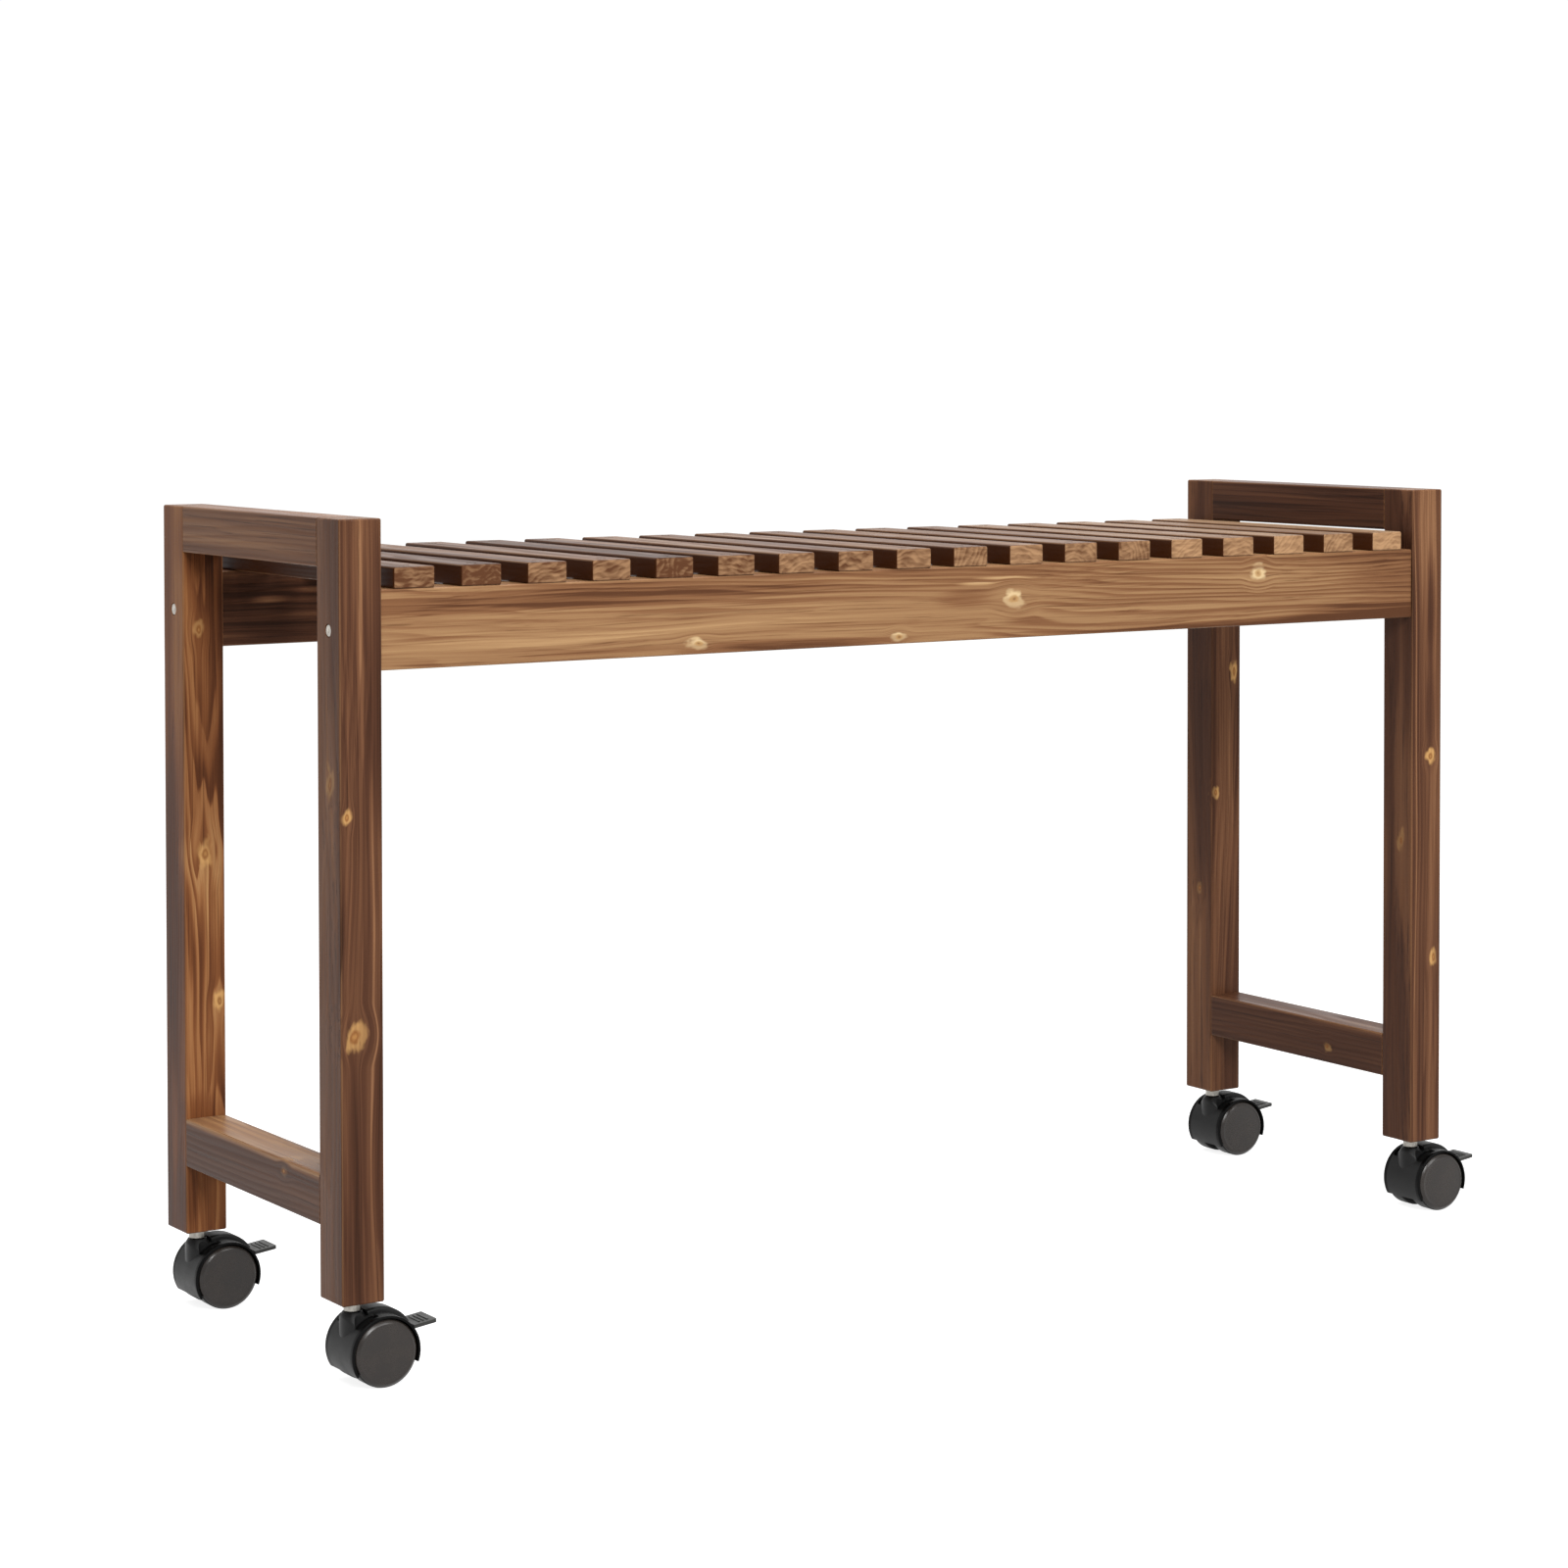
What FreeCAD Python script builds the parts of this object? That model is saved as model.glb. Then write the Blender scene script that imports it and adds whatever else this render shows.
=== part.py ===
# A slatted wooden plant stand that rolls on four twin-wheel casters with brakes.
# Millimetres. +Z is up, +X runs along the shelf and -Y is the front.
# The origin is on the floor, in the middle of the whole footprint with the brake pedals.

import FreeCAD, Part
import math
import os

from FreeCAD import Vector

# ---------------------------------------------------------------- overall sizes
stand_length = 1000.0           # over the outer faces of the posts
stand_depth = 300.0             # over the outer faces of the posts
stand_height = 600.0            # floor to the tops of the posts
caster_height = 59.5            # floor to the undersides of the posts

# ---------------------------------------------------------------- timber
post_width = 32.0               # along the shelf
post_depth = 36.0               # across the shelf
timber_round = 1.5              # round-over on the edges
top_rail_height = 34.0
low_rail_height = 35.5
low_rail_lift = 50.5            # underside of a post to the underside of a low rail
long_rail_thickness = 32.0
long_rail_height = 56.0
slat_width = 31.5
slat_thickness = 15.0
slat_pitch = 52.0
slat_end_room = 6.0             # least gap between an end slat and the posts

# ---------------------------------------------------------------- hidden joinery
dowel_radius = 4.0
dowel_length = 30.0             # half of it in each timber
dowel_gap = 0.05                # glue line around a dowel
dowel_end_gap = 0.3
frame_dowel_spacing = 18.0      # between the two dowels of an end frame joint
rail_dowel_spacing = 36.0       # between the two dowels of a long rail joint

bolt_radius = 2.5
bolt_hole_gap = 0.25
bolt_head_radius = 4.25
bolt_head_height = 5.0
bolt_head_room = 0.4            # around the head in its counterbore
bolt_head_sink = 0.3            # head below the face of the post
bolt_past_nut = 4.0             # bolt end beyond the barrel nut
hex_socket_radius = 1.7
hex_socket_depth = 2.0
barrel_nut_radius = 5.0
barrel_nut_length = 18.0
barrel_nut_setback = 40.0       # end of a long rail to the axis of its nut
barrel_nut_gap = 0.1
thread_gap = 0.05               # between a bolt or stem and the thread it turns in

screw_radius = 1.75
screw_length = 30.0
screw_head_radius = 3.5
screw_head_height = 2.4
screw_head_sink = 0.2           # head below the top of a slat
screw_tip_length = 4.0
screw_hole_gap = 0.05
screw_hole_end = 1.0            # hole beyond the tip of a screw

insert_radius = 6.0
insert_length = 15.0
insert_gap = 0.05

# ---------------------------------------------------------------- caster stem
stem_thread_radius = 4.0
stem_thread_length = 13.0
collar_radius = 6.2
collar_height = 7.5
collar_chamfer = 0.6
journal_radius = 3.5
journal_length = 25.0
journal_gap = 0.05
collar_seat_gap = 0.3           # under the collar, over the boss of the body
journal_end_gap = 0.5
lead_chamfer = 0.8              # on the ends of stems and pins

# ---------------------------------------------------------------- caster wheels
wheel_radius = 24.0
wheel_trail = 15.5              # stem axis to the axle, along the shelf
wheel_side_gap = 0.5            # between a wheel and the web of the body
wheel_width = 14.3              # tread
tread_wall = 4.5
tread_chamfer = 0.6
wheel_disc_thickness = 2.4
wheel_hub_radius = 6.0
cap_seat_depth = 2.4            # pocket for the cap in the outer side of a wheel
cap_seat_margin = 2.4           # tread surface to the wall of that pocket
cap_fit_gap = 0.1
cap_radius = 23.2
cap_edge_height = 0.3
cap_rim_width = 2.3             # rounded rim of a cap, seen from the side of the caster
cap_rim_height = 1.4
cap_dome = 0.5
axle_radius = 3.0
axle_bore_gap = 0.05
axle_end_gap = 0.6
notch_count = 12                # brake notches inside the tread of a wheel
notch_radius = 1.9

# ---------------------------------------------------------------- caster body
web_thickness = 12.0            # between the two wheels
hood_gap = 0.5                  # between the treads and the hood
hood_wall = 1.6
hood_width = 43.4
hood_edge_round = 0.7
hood_front_angle = -20.0        # lower edge on the pedal side, from the axle
hood_back_angle = 212.0         # lower edge on the stem side, from the axle
ridge_radius = 29.7             # brake housing on top of the hood, from the axle
ridge_width = 16.0
ridge_round = 2.2
ridge_front_angle = 35.0
ridge_back_angle = 106.0
boss_radius = 7.0               # top of the stem boss
shoulder_flare = 32.0           # degrees by which the boss widens down into the hood
shoulder_back = 8.5             # from the stem axis, away from the pedal
shoulder_back_radius = 16.0     # of the rounded back of the boss, seen from above
shoulder_round = 4.0            # between the cone of the boss and its back
pocket_width = 10.6             # openings in the hood beside the boss
pocket_back = 3.5               # from the stem axis, away from the pedal
pocket_front = 12.0             # from the stem axis, towards the pedal
pocket_round = 3.0

# ---------------------------------------------------------------- brake lever
pivot_pin_radius = 1.5
pivot_bore_gap = 0.05
pivot_angle = 35.0              # place of the pivot, seen from the axle
brake_travel = 15.0             # degrees that the pedal goes down
brake_pin_radius = 1.5
brake_pin_rest = 17.0           # axle to the brake pin with the pedal up
brake_pin_arm = 9.3             # pivot to the brake pin
brake_pin_reach = 3.0           # brake pin beyond the web on each side
lever_thickness = 7.0
lever_side_gap = 0.4
lever_hub_radius = 3.6
lever_arm_width = 4.6
lever_clear = 0.8               # around the lever in its slot
pedal_width = 24.0
pedal_thickness = 2.6
pedal_root = 41.3               # from the stem axis
pedal_reach = 58.7              # from the stem axis
pedal_root_height = 38.3        # floor to the top of the pedal at its root
pedal_tip_height = 40.5         # floor to the top of the pedal at its tip
pedal_corner_round = 0.8
neck_room_down = 24.0           # degrees cut free below the neck of the pedal
neck_room_up = 20.0
neck_overlap = 1.0              # neck into the pedal plate
grip_rib_count = 3
grip_rib_height = 0.5
grip_rib_width = 1.2
grip_rib_length = 16.0
grip_rib_pitch = 3.2
grip_rib_setback = 5.0          # tip of the pedal to its first rib

overcut = 1.0                   # how far a cutting tool goes past a face

# ---------------------------------------------------------------- places worked out
post_x = stand_length / 2 - post_width / 2
post_y = stand_depth / 2 - post_depth / 2
post_inner_x = stand_length / 2 - post_width
post_inner_y = stand_depth / 2 - post_depth
slat_top = stand_height - top_rail_height
long_rail_top = slat_top - slat_thickness
long_rail_bottom = long_rail_top - long_rail_height
long_rail_middle = (long_rail_top + long_rail_bottom) / 2
low_rail_bottom = caster_height + low_rail_lift
slat_length = 2 * (post_y + long_rail_thickness / 2)
pedal_overhang = post_x + pedal_reach - stand_length / 2
to_footprint_middle = Vector(-pedal_overhang / 2, 0, 0)

axle_height = wheel_radius
web_half = web_thickness / 2
wheel_inner = web_half + wheel_side_gap
wheel_outer = wheel_inner + wheel_width
cap_seat = wheel_outer - cap_seat_depth
cap_seat_radius = wheel_radius - cap_seat_margin
rim_inner_radius = wheel_radius - tread_wall
hood_inner_radius = wheel_radius + hood_gap
hood_outer_radius = hood_inner_radius + hood_wall
hood_wall_middle = hood_inner_radius + hood_wall / 2
stem_seat = caster_height - collar_height
boss_top = stem_seat - collar_seat_gap
journal_bottom = stem_seat - journal_length

corners = {
    "front_left": (-1, -1),
    "back_left": (-1, 1),
    "front_right": (1, -1),
    "back_right": (1, 1),
}

along_x = Vector(1, 0, 0)
along_y = Vector(0, 1, 0)
along_z = Vector(0, 0, 1)


# ---------------------------------------------------------------- plain shapes
def block(low, high):
    size = high - low
    return Part.makeBox(size.x, size.y, size.z, low)


def rod(start, direction, radius, length):
    return Part.makeCylinder(radius, length, start, direction)


def pin_with_chamfers(start, direction, radius, length, chamfer):
    cone = Part.makeCone(radius - chamfer, radius, chamfer, start, direction)
    middle = rod(start + direction * chamfer, direction, radius, length - 2 * chamfer)
    far_end = start + direction * (length - chamfer)
    far_cone = Part.makeCone(radius, radius - chamfer, chamfer, far_end, direction)
    return cone.fuse([middle, far_cone]).removeSplitter()


def timber(low, high, grain, rounded_ends=False):
    # A planed bar with its long edges rounded over, and its end edges too where they show.
    bar = block(low, high)
    edges = [edge for edge in bar.Edges if rounded_ends or runs_along(edge, grain)]
    return bar.makeFillet(timber_round, edges)


def runs_along(edge, direction):
    if len(edge.Vertexes) < 2:
        return False
    run = edge.Vertexes[1].Point - edge.Vertexes[0].Point
    return run.cross(direction).Length < 0.001 * run.Length


def save(name, shapes):
    solids = []
    for shape in shapes:
        moved = shape.copy()
        moved.translate(to_footprint_middle)
        solids.extend(moved.Solids)
    whole = solids[0] if len(solids) == 1 else Part.makeCompound(solids)
    whole.exportStep("parts/" + name + ".step")
    print(name, len(solids), "valid" if all(s.isValid() for s in solids) else "INVALID")


# ---------------------------------------------------------------- wooden frame
def dowel_places():
    # The middle of each dowel and the way it runs.
    frame_heights = []
    top_middle = slat_top + top_rail_height / 2
    low_middle = low_rail_bottom + low_rail_height / 2
    for middle in (top_middle, low_middle):
        for up in (-1, 1):
            frame_heights.append(middle + up * frame_dowel_spacing / 2)
    places = []
    for side_x, side_y in corners.values():
        for height in frame_heights:
            places.append((Vector(side_x * post_x, side_y * post_inner_y, height), along_y))
        for up in (-1, 1):
            height = long_rail_middle + up * rail_dowel_spacing / 2
            places.append((Vector(side_x * post_inner_x, side_y * post_y, height), along_x))
    return places


def dowel_shapes(gap, end_gap):
    shapes = []
    for middle, direction in dowel_places():
        length = dowel_length + 2 * end_gap
        start = middle - direction * (length / 2)
        shapes.append(rod(start, direction, dowel_radius + gap, length))
    return shapes


def bolt_holes(side_x, side_y):
    # The bolt hole of one long rail joint, its counterbore and the hole for its barrel nut,
    # which goes up from the underside of the rail.
    face = Vector(side_x * stand_length / 2, side_y * post_y, long_rail_middle)
    inward = Vector(-side_x, 0, 0)
    sink = bolt_head_height + bolt_head_sink
    counterbore = rod(face, inward, bolt_head_radius + bolt_head_room, sink)
    nut_middle = Vector(side_x * (post_inner_x - barrel_nut_setback), side_y * post_y, long_rail_middle)
    reach = (face - nut_middle).Length + barrel_nut_radius + bolt_past_nut + overcut
    hole = rod(face, inward, bolt_radius + bolt_hole_gap, reach)
    half = barrel_nut_length / 2 + dowel_end_gap
    cross_length = half + long_rail_height / 2 + overcut
    cross = rod(nut_middle + along_z * half, -along_z, barrel_nut_radius + barrel_nut_gap, cross_length)
    return hole, counterbore, cross


def joint_bolt(side_x, side_y):
    head_face = Vector(side_x * (stand_length / 2 - bolt_head_sink), side_y * post_y, long_rail_middle)
    inward = Vector(-side_x, 0, 0)
    nut_x = post_inner_x - barrel_nut_setback
    tip_x = nut_x - barrel_nut_radius - bolt_past_nut
    length = stand_length / 2 - bolt_head_sink - tip_x
    head = rod(head_face, inward, bolt_head_radius, bolt_head_height)
    shank = rod(head_face, inward, bolt_radius, length)
    socket_points = []
    for turn in range(7):
        angle = math.radians(60 * turn)
        corner = Vector(0, hex_socket_radius * math.cos(angle), hex_socket_radius * math.sin(angle))
        socket_points.append(head_face + corner)
    socket = Part.Face(Part.makePolygon(socket_points)).extrude(inward * hex_socket_depth)
    return head.fuse(shank).removeSplitter().cut(socket)


def barrel_nut(side_x, side_y):
    middle = Vector(side_x * (post_inner_x - barrel_nut_setback), side_y * post_y, long_rail_middle)
    start = middle - along_z * (barrel_nut_length / 2)
    nut = rod(start, along_z, barrel_nut_radius, barrel_nut_length)
    half_bore = barrel_nut_radius + overcut
    thread_start = middle - along_x * half_bore
    thread = rod(thread_start, along_x, bolt_radius + thread_gap, 2 * half_bore)
    return nut.cut(thread)


def insert_hole(side_x, side_y):
    start = Vector(side_x * post_x, side_y * post_y, caster_height - overcut)
    return rod(start, along_z, insert_radius + insert_gap, insert_length + overcut + dowel_end_gap)


def caster_insert(side_x, side_y):
    start = Vector(side_x * post_x, side_y * post_y, caster_height)
    bush = rod(start, along_z, insert_radius, insert_length)
    bore = rod(start, along_z, stem_thread_radius + thread_gap, insert_length)
    return bush.cut(bore)


def make_posts(dowel_holes):
    for name, (side_x, side_y) in corners.items():
        outer = Vector(side_x * stand_length / 2, side_y * stand_depth / 2, 0)
        inner = Vector(side_x * post_inner_x, side_y * post_inner_y, 0)
        low = Vector(min(outer.x, inner.x), min(outer.y, inner.y), caster_height)
        high = Vector(max(outer.x, inner.x), max(outer.y, inner.y), stand_height)
        post = timber(low, high, along_z, rounded_ends=True)
        tools = list(bolt_holes(side_x, side_y)[:2])
        tools.append(insert_hole(side_x, side_y))
        tools.extend(near(dowel_holes, post))
        save("post_" + name, [post.cut(tools)])


def near(tools, shape):
    # Only the tools that reach the shape.
    return [tool for tool in tools if tool.BoundBox.intersect(shape.BoundBox)]


def make_end_rails(dowel_holes):
    heights = {
        "top_end_rail": (slat_top, slat_top + top_rail_height),
        "low_end_rail": (low_rail_bottom, low_rail_bottom + low_rail_height),
    }
    for kind, (bottom, top) in heights.items():
        for side, side_x in (("left", -1), ("right", 1)):
            edges = sorted((side_x * post_inner_x, side_x * stand_length / 2))
            low = Vector(edges[0], -post_inner_y, bottom)
            high = Vector(edges[1], post_inner_y, top)
            rail = timber(low, high, along_y)
            save(kind + "_" + side, [rail.cut(near(dowel_holes, rail))])


def slat_middles():
    clear_length = 2 * post_inner_x - slat_width - 2 * slat_end_room
    count = int(clear_length / slat_pitch) + 1
    first = -(count - 1) * slat_pitch / 2
    return [first + number * slat_pitch for number in range(count)]


def make_long_rails(dowel_holes):
    for side, side_y in (("front", -1), ("back", 1)):
        low = Vector(-post_inner_x, side_y * post_y - long_rail_thickness / 2, long_rail_bottom)
        high = Vector(post_inner_x, side_y * post_y + long_rail_thickness / 2, long_rail_top)
        rail = timber(low, high, along_x)
        tools = near(dowel_holes, rail)
        for side_x in (-1, 1):
            hole, counterbore, cross = bolt_holes(side_x, side_y)
            tools.extend([hole, cross])
        screw_depth = screw_length + screw_head_sink - slat_thickness
        for x in slat_middles():
            start = Vector(x, side_y * post_y, long_rail_top)
            depth = screw_depth + screw_hole_end
            tools.append(rod(start, -along_z, screw_radius + screw_hole_gap, depth))
        save("long_rail_" + side, [rail.cut(tools)])


def make_slats():
    head_top = slat_top - screw_head_sink
    for number, x in enumerate(slat_middles(), start=1):
        low = Vector(x - slat_width / 2, -slat_length / 2, long_rail_top)
        high = Vector(x + slat_width / 2, slat_length / 2, slat_top)
        slat = timber(low, high, along_y, rounded_ends=True)
        tools = []
        for side_y in (-1, 1):
            centre = Vector(x, side_y * post_y, 0)
            wide = screw_head_radius + screw_hole_gap
            narrow = screw_radius + screw_hole_gap
            cone_base = centre + along_z * (head_top - screw_head_height)
            tools.append(Part.makeCone(narrow, wide, screw_head_height, cone_base, along_z))
            tools.append(rod(centre + along_z * head_top, along_z, wide, screw_head_sink + overcut))
            shank_start = centre + along_z * (long_rail_top - overcut)
            tools.append(rod(shank_start, along_z, narrow, slat_thickness))
        save("slat_%02d" % number, [slat.cut(tools)])


def slat_screw(x, y):
    top = Vector(x, y, slat_top - screw_head_sink)
    head_low = top - along_z * screw_head_height
    head = Part.makeCone(screw_radius, screw_head_radius, screw_head_height, head_low, along_z)
    tip_low = top - along_z * screw_length
    shank_length = screw_length - screw_head_height - screw_tip_length
    shank = rod(tip_low + along_z * screw_tip_length, along_z, screw_radius, shank_length)
    tip = Part.makeCone(0, screw_radius, screw_tip_length, tip_low, along_z)
    return head.fuse([shank, tip]).removeSplitter()


def make_frame_hardware():
    save("frame_dowels", dowel_shapes(0, 0))
    save("joint_bolts", [joint_bolt(*sides) for sides in corners.values()])
    save("barrel_nuts", [barrel_nut(*sides) for sides in corners.values()])
    save("caster_inserts", [caster_insert(*sides) for sides in corners.values()])
    screws = []
    for x in slat_middles():
        for side_y in (-1, 1):
            screws.append(slat_screw(x, side_y * post_y))
    save("slat_screws", screws)


# ---------------------------------------------------------------- caster, stem axis on Z
# These pieces are drawn with the stem on the Z axis, the floor at zero and the pedal at +X.
axle_point = Vector(wheel_trail, 0, axle_height)


def around_axle(radius, angle):
    turn = math.radians(angle)
    return axle_point + Vector(radius * math.cos(turn), 0, radius * math.sin(turn))


def arc_about(middle, radius, start, end):
    # An arc in the XZ plane, from one angle to another, anticlockwise seen from the front.
    points = []
    for angle in (start, (start + end) / 2, end):
        turn = math.radians(angle)
        points.append(middle + Vector(radius * math.cos(turn), 0, radius * math.sin(turn)))
    return Part.Arc(*points).toShape()


def across(face, half_width):
    # A face in the XZ plane thickened to both sides.
    shape = face.copy()
    shape.translate(Vector(0, -half_width, 0))
    return shape.extrude(Vector(0, 2 * half_width, 0))


def ring_sector(middle, inner, outer, start, end, half_width):
    outer_arc = arc_about(middle, outer, start, end)
    inner_arc = arc_about(middle, inner, start, end)
    first = Part.makeLine(inner_arc.Vertexes[0].Point, outer_arc.Vertexes[0].Point)
    last = Part.makeLine(outer_arc.Vertexes[-1].Point, inner_arc.Vertexes[-1].Point)
    wire = Part.Wire(Part.__sortEdges__([outer_arc, last, inner_arc, first]))
    return across(Part.Face(wire), half_width)


def pie(middle, radius, start, end, half_width):
    arc = arc_about(middle, radius, start, end)
    first = Part.makeLine(middle, arc.Vertexes[0].Point)
    last = Part.makeLine(arc.Vertexes[-1].Point, middle)
    return across(Part.Face(Part.Wire(Part.__sortEdges__([first, arc, last]))), half_width)


def plate(points, half_width):
    # A straight-sided outline in the XZ plane, thickened to both sides.
    corners_3d = [Vector(x, 0, z) for x, z in points]
    return across(Part.Face(Part.makePolygon(corners_3d + corners_3d[:1])), half_width)


pivot_radius = math.hypot(brake_pin_rest, brake_pin_arm)
pivot_point = around_axle(pivot_radius, pivot_angle)
brake_pin_angle = pivot_angle + math.degrees(math.atan2(brake_pin_arm, brake_pin_rest))
brake_pin_point = around_axle(brake_pin_rest, brake_pin_angle)
arm_run = brake_pin_point - pivot_point
arm_angle = math.degrees(math.atan2(arm_run.z, arm_run.x))


def pressed_pin_point():
    turned = FreeCAD.Rotation(along_y, brake_travel).multVec(arm_run)
    return pivot_point + turned


def make_stem():
    journal = pin_with_chamfers(Vector(0, 0, journal_bottom), along_z, journal_radius,
                                journal_length + 2 * lead_chamfer, lead_chamfer)
    collar = pin_with_chamfers(Vector(0, 0, stem_seat), along_z, collar_radius,
                               collar_height, collar_chamfer)
    thread_start = Vector(0, 0, caster_height - 2 * lead_chamfer)
    thread = pin_with_chamfers(thread_start, along_z, stem_thread_radius,
                               stem_thread_length + 2 * lead_chamfer, lead_chamfer)
    return collar.fuse([journal, thread]).removeSplitter()


def make_body():
    # The web, ridge and boss end inside the wall of the hood.
    half_hood = hood_width / 2
    hood = ring_sector(axle_point, hood_inner_radius, hood_outer_radius,
                       hood_front_angle, hood_back_angle, half_hood)
    hood = round_outer_arcs(hood, hood_outer_radius, hood_edge_round)
    web_arc = arc_about(axle_point, hood_wall_middle, hood_front_angle, hood_back_angle)
    chord = Part.makeLine(web_arc.Vertexes[-1].Point, web_arc.Vertexes[0].Point)
    web = across(Part.Face(Part.Wire([web_arc, chord])), web_half)
    ridge = ring_sector(axle_point, hood_wall_middle, ridge_radius,
                        ridge_front_angle, ridge_back_angle, ridge_width / 2)
    ridge = round_outer_arcs(ridge, ridge_radius, ridge_round)
    body = hood.fuse([web, ridge, make_boss()]).removeSplitter()
    return body.cut(body_openings())


def make_boss():
    # The boss widens down into the hood, up to a rounded back that runs down onto the hood.
    height = boss_top - axle_height
    foot_radius = boss_radius + height * math.tan(math.radians(shoulder_flare))
    cone = Part.makeCone(foot_radius, boss_radius, height, Vector(0, 0, axle_height), along_z)
    back_middle = Vector(shoulder_back_radius - shoulder_back, 0, axle_height)
    boss = cone.common(rod(back_middle, along_z, shoulder_back_radius, height))
    creases = [edge for edge in boss.Edges if edge.BoundBox.ZLength > shoulder_round]
    boss = boss.makeFillet(shoulder_round, creases)
    for side in (-1, 1):
        start = axle_point + Vector(0, side * web_half, 0)
        boss = boss.cut(rod(start, Vector(0, side, 0), hood_wall_middle, hood_width))
    return boss


def round_outer_arcs(shape, radius, fillet):
    edges = []
    for edge in shape.Edges:
        curve = edge.Curve
        if isinstance(curve, Part.Circle) and abs(curve.Radius - radius) < 0.001:
            edges.append(edge)
    return shape.makeFillet(fillet, edges)


def body_openings():
    tools = []
    room = hood_width
    for side in (-1, 1):
        inner = ridge_width / 2
        edges = sorted((side * inner, side * (inner + pocket_width)))
        low = Vector(-pocket_back, edges[0], axle_height)
        high = Vector(pocket_front, edges[1], caster_height)
        pocket = block(low, high)
        uprights = [edge for edge in pocket.Edges if runs_along(edge, along_z)]
        tools.append(pocket.makeFillet(pocket_round, uprights))
    bore_bottom = journal_bottom - journal_end_gap
    bore_length = caster_height - bore_bottom
    tools.append(rod(Vector(0, 0, bore_bottom), along_z, journal_radius + journal_gap, bore_length))
    tools.append(rod(axle_point - along_y * room, along_y, axle_radius, 2 * room))
    tools.append(rod(pivot_point - along_y * room, along_y, pivot_pin_radius, 2 * room))
    tools.extend(lever_slot())
    return tools


def lever_slot():
    half = lever_thickness / 2 + lever_side_gap
    reach = brake_pin_arm + lever_arm_width / 2 + lever_clear
    hub_room = lever_hub_radius + lever_clear
    spread = math.degrees(math.atan2(lever_arm_width / 2 + lever_clear, hub_room))
    hub = across(Part.Face(Part.Wire(arc_circle(pivot_point, hub_room))), half)
    arm_room = pie(pivot_point, reach, arm_angle - brake_travel - spread, arm_angle + spread, half)
    neck_angle = pedal_slope_from_pivot()
    neck_reach = ridge_radius - pivot_radius + 2 * pedal_thickness
    neck_low = neck_angle - brake_travel - neck_room_down
    neck_room = pie(pivot_point, neck_reach, neck_low, neck_angle + neck_room_up, half)
    pin_inner = brake_pin_arm - brake_pin_radius - lever_clear
    pin_outer = brake_pin_arm + brake_pin_radius + lever_clear
    pin_spread = math.degrees((brake_pin_radius + lever_clear) / brake_pin_arm)
    window = ring_sector(pivot_point, pin_inner, pin_outer, arm_angle - brake_travel - pin_spread,
                         arm_angle + pin_spread, web_half + overcut)
    return [hub, arm_room, neck_room, window]


def arc_circle(middle, radius):
    return Part.makeCircle(radius, middle, along_y)


def pedal_top(x):
    slope = (pedal_tip_height - pedal_root_height) / (pedal_reach - pedal_root)
    return pedal_root_height + (x - pedal_root) * slope


def pedal_middle(x):
    return Vector(x, 0, pedal_top(x) - pedal_thickness / 2)


def pedal_slope_from_pivot():
    run = pedal_middle(pedal_root) - pivot_point
    return math.degrees(math.atan2(run.z, run.x))


def make_lever():
    half = lever_thickness / 2
    hub = across(Part.Face(Part.Wire(arc_circle(pivot_point, lever_hub_radius))), half)
    arm = bar_between(pivot_point, brake_pin_point, lever_arm_width, half)
    pin_start = brake_pin_point - along_y * (web_half + brake_pin_reach)
    pin = rod(pin_start, along_y, brake_pin_radius, 2 * (web_half + brake_pin_reach))
    neck_end = pedal_middle(pedal_root + neck_overlap)
    neck = bar_between(pivot_point, neck_end, pedal_thickness, half, rounded=False)
    lever = hub.fuse([arm, neck, make_pedal(), pin]).removeSplitter()
    bore_start = pivot_point - along_y * lever_thickness
    bore = rod(bore_start, along_y, pivot_pin_radius + pivot_bore_gap, 2 * lever_thickness)
    return lever.cut(bore)


def bar_between(start, end, width, half_thickness, rounded=True):
    run = end - start
    side = Vector(-run.z, 0, run.x).normalize() * (width / 2)
    points = [start + side, start - side, end - side, end + side]
    bar = across(Part.Face(Part.makePolygon(points + points[:1])), half_thickness)
    if not rounded:
        return bar
    tip = across(Part.Face(Part.Wire(arc_circle(end, width / 2))), half_thickness)
    return bar.fuse(tip)


def make_pedal():
    points = [
        (pedal_root, pedal_root_height),
        (pedal_root, pedal_root_height - pedal_thickness),
        (pedal_reach, pedal_tip_height - pedal_thickness),
        (pedal_reach, pedal_tip_height),
    ]
    pedal = plate(points, pedal_width / 2)
    tip_edges = [edge for edge in pedal.Edges if runs_along(edge, along_z) and at_tip(edge)]
    pedal = pedal.makeFillet(pedal_corner_round, tip_edges)
    ribs = []
    half_rib = Vector(grip_rib_width / 2, grip_rib_length / 2, 0)
    for number in range(grip_rib_count):
        x = pedal_reach - grip_rib_setback - number * grip_rib_pitch
        foot = pedal_middle(x)
        crest = Vector(x, 0, pedal_top(x) + grip_rib_height)
        ribs.append(block(foot - half_rib, crest + half_rib))
    return pedal.fuse(ribs)


def at_tip(edge):
    return all(abs(vertex.Point.x - pedal_reach) < 0.001 for vertex in edge.Vertexes)


def revolved(profile, side):
    # Turns an outline of (radius, distance from the middle) points about the axle.
    points = [Vector(wheel_trail + radius, side * out, axle_height) for radius, out in profile]
    face = Part.Face(Part.makePolygon(points + points[:1]))
    return face.revolve(axle_point, along_y, 360)


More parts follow.
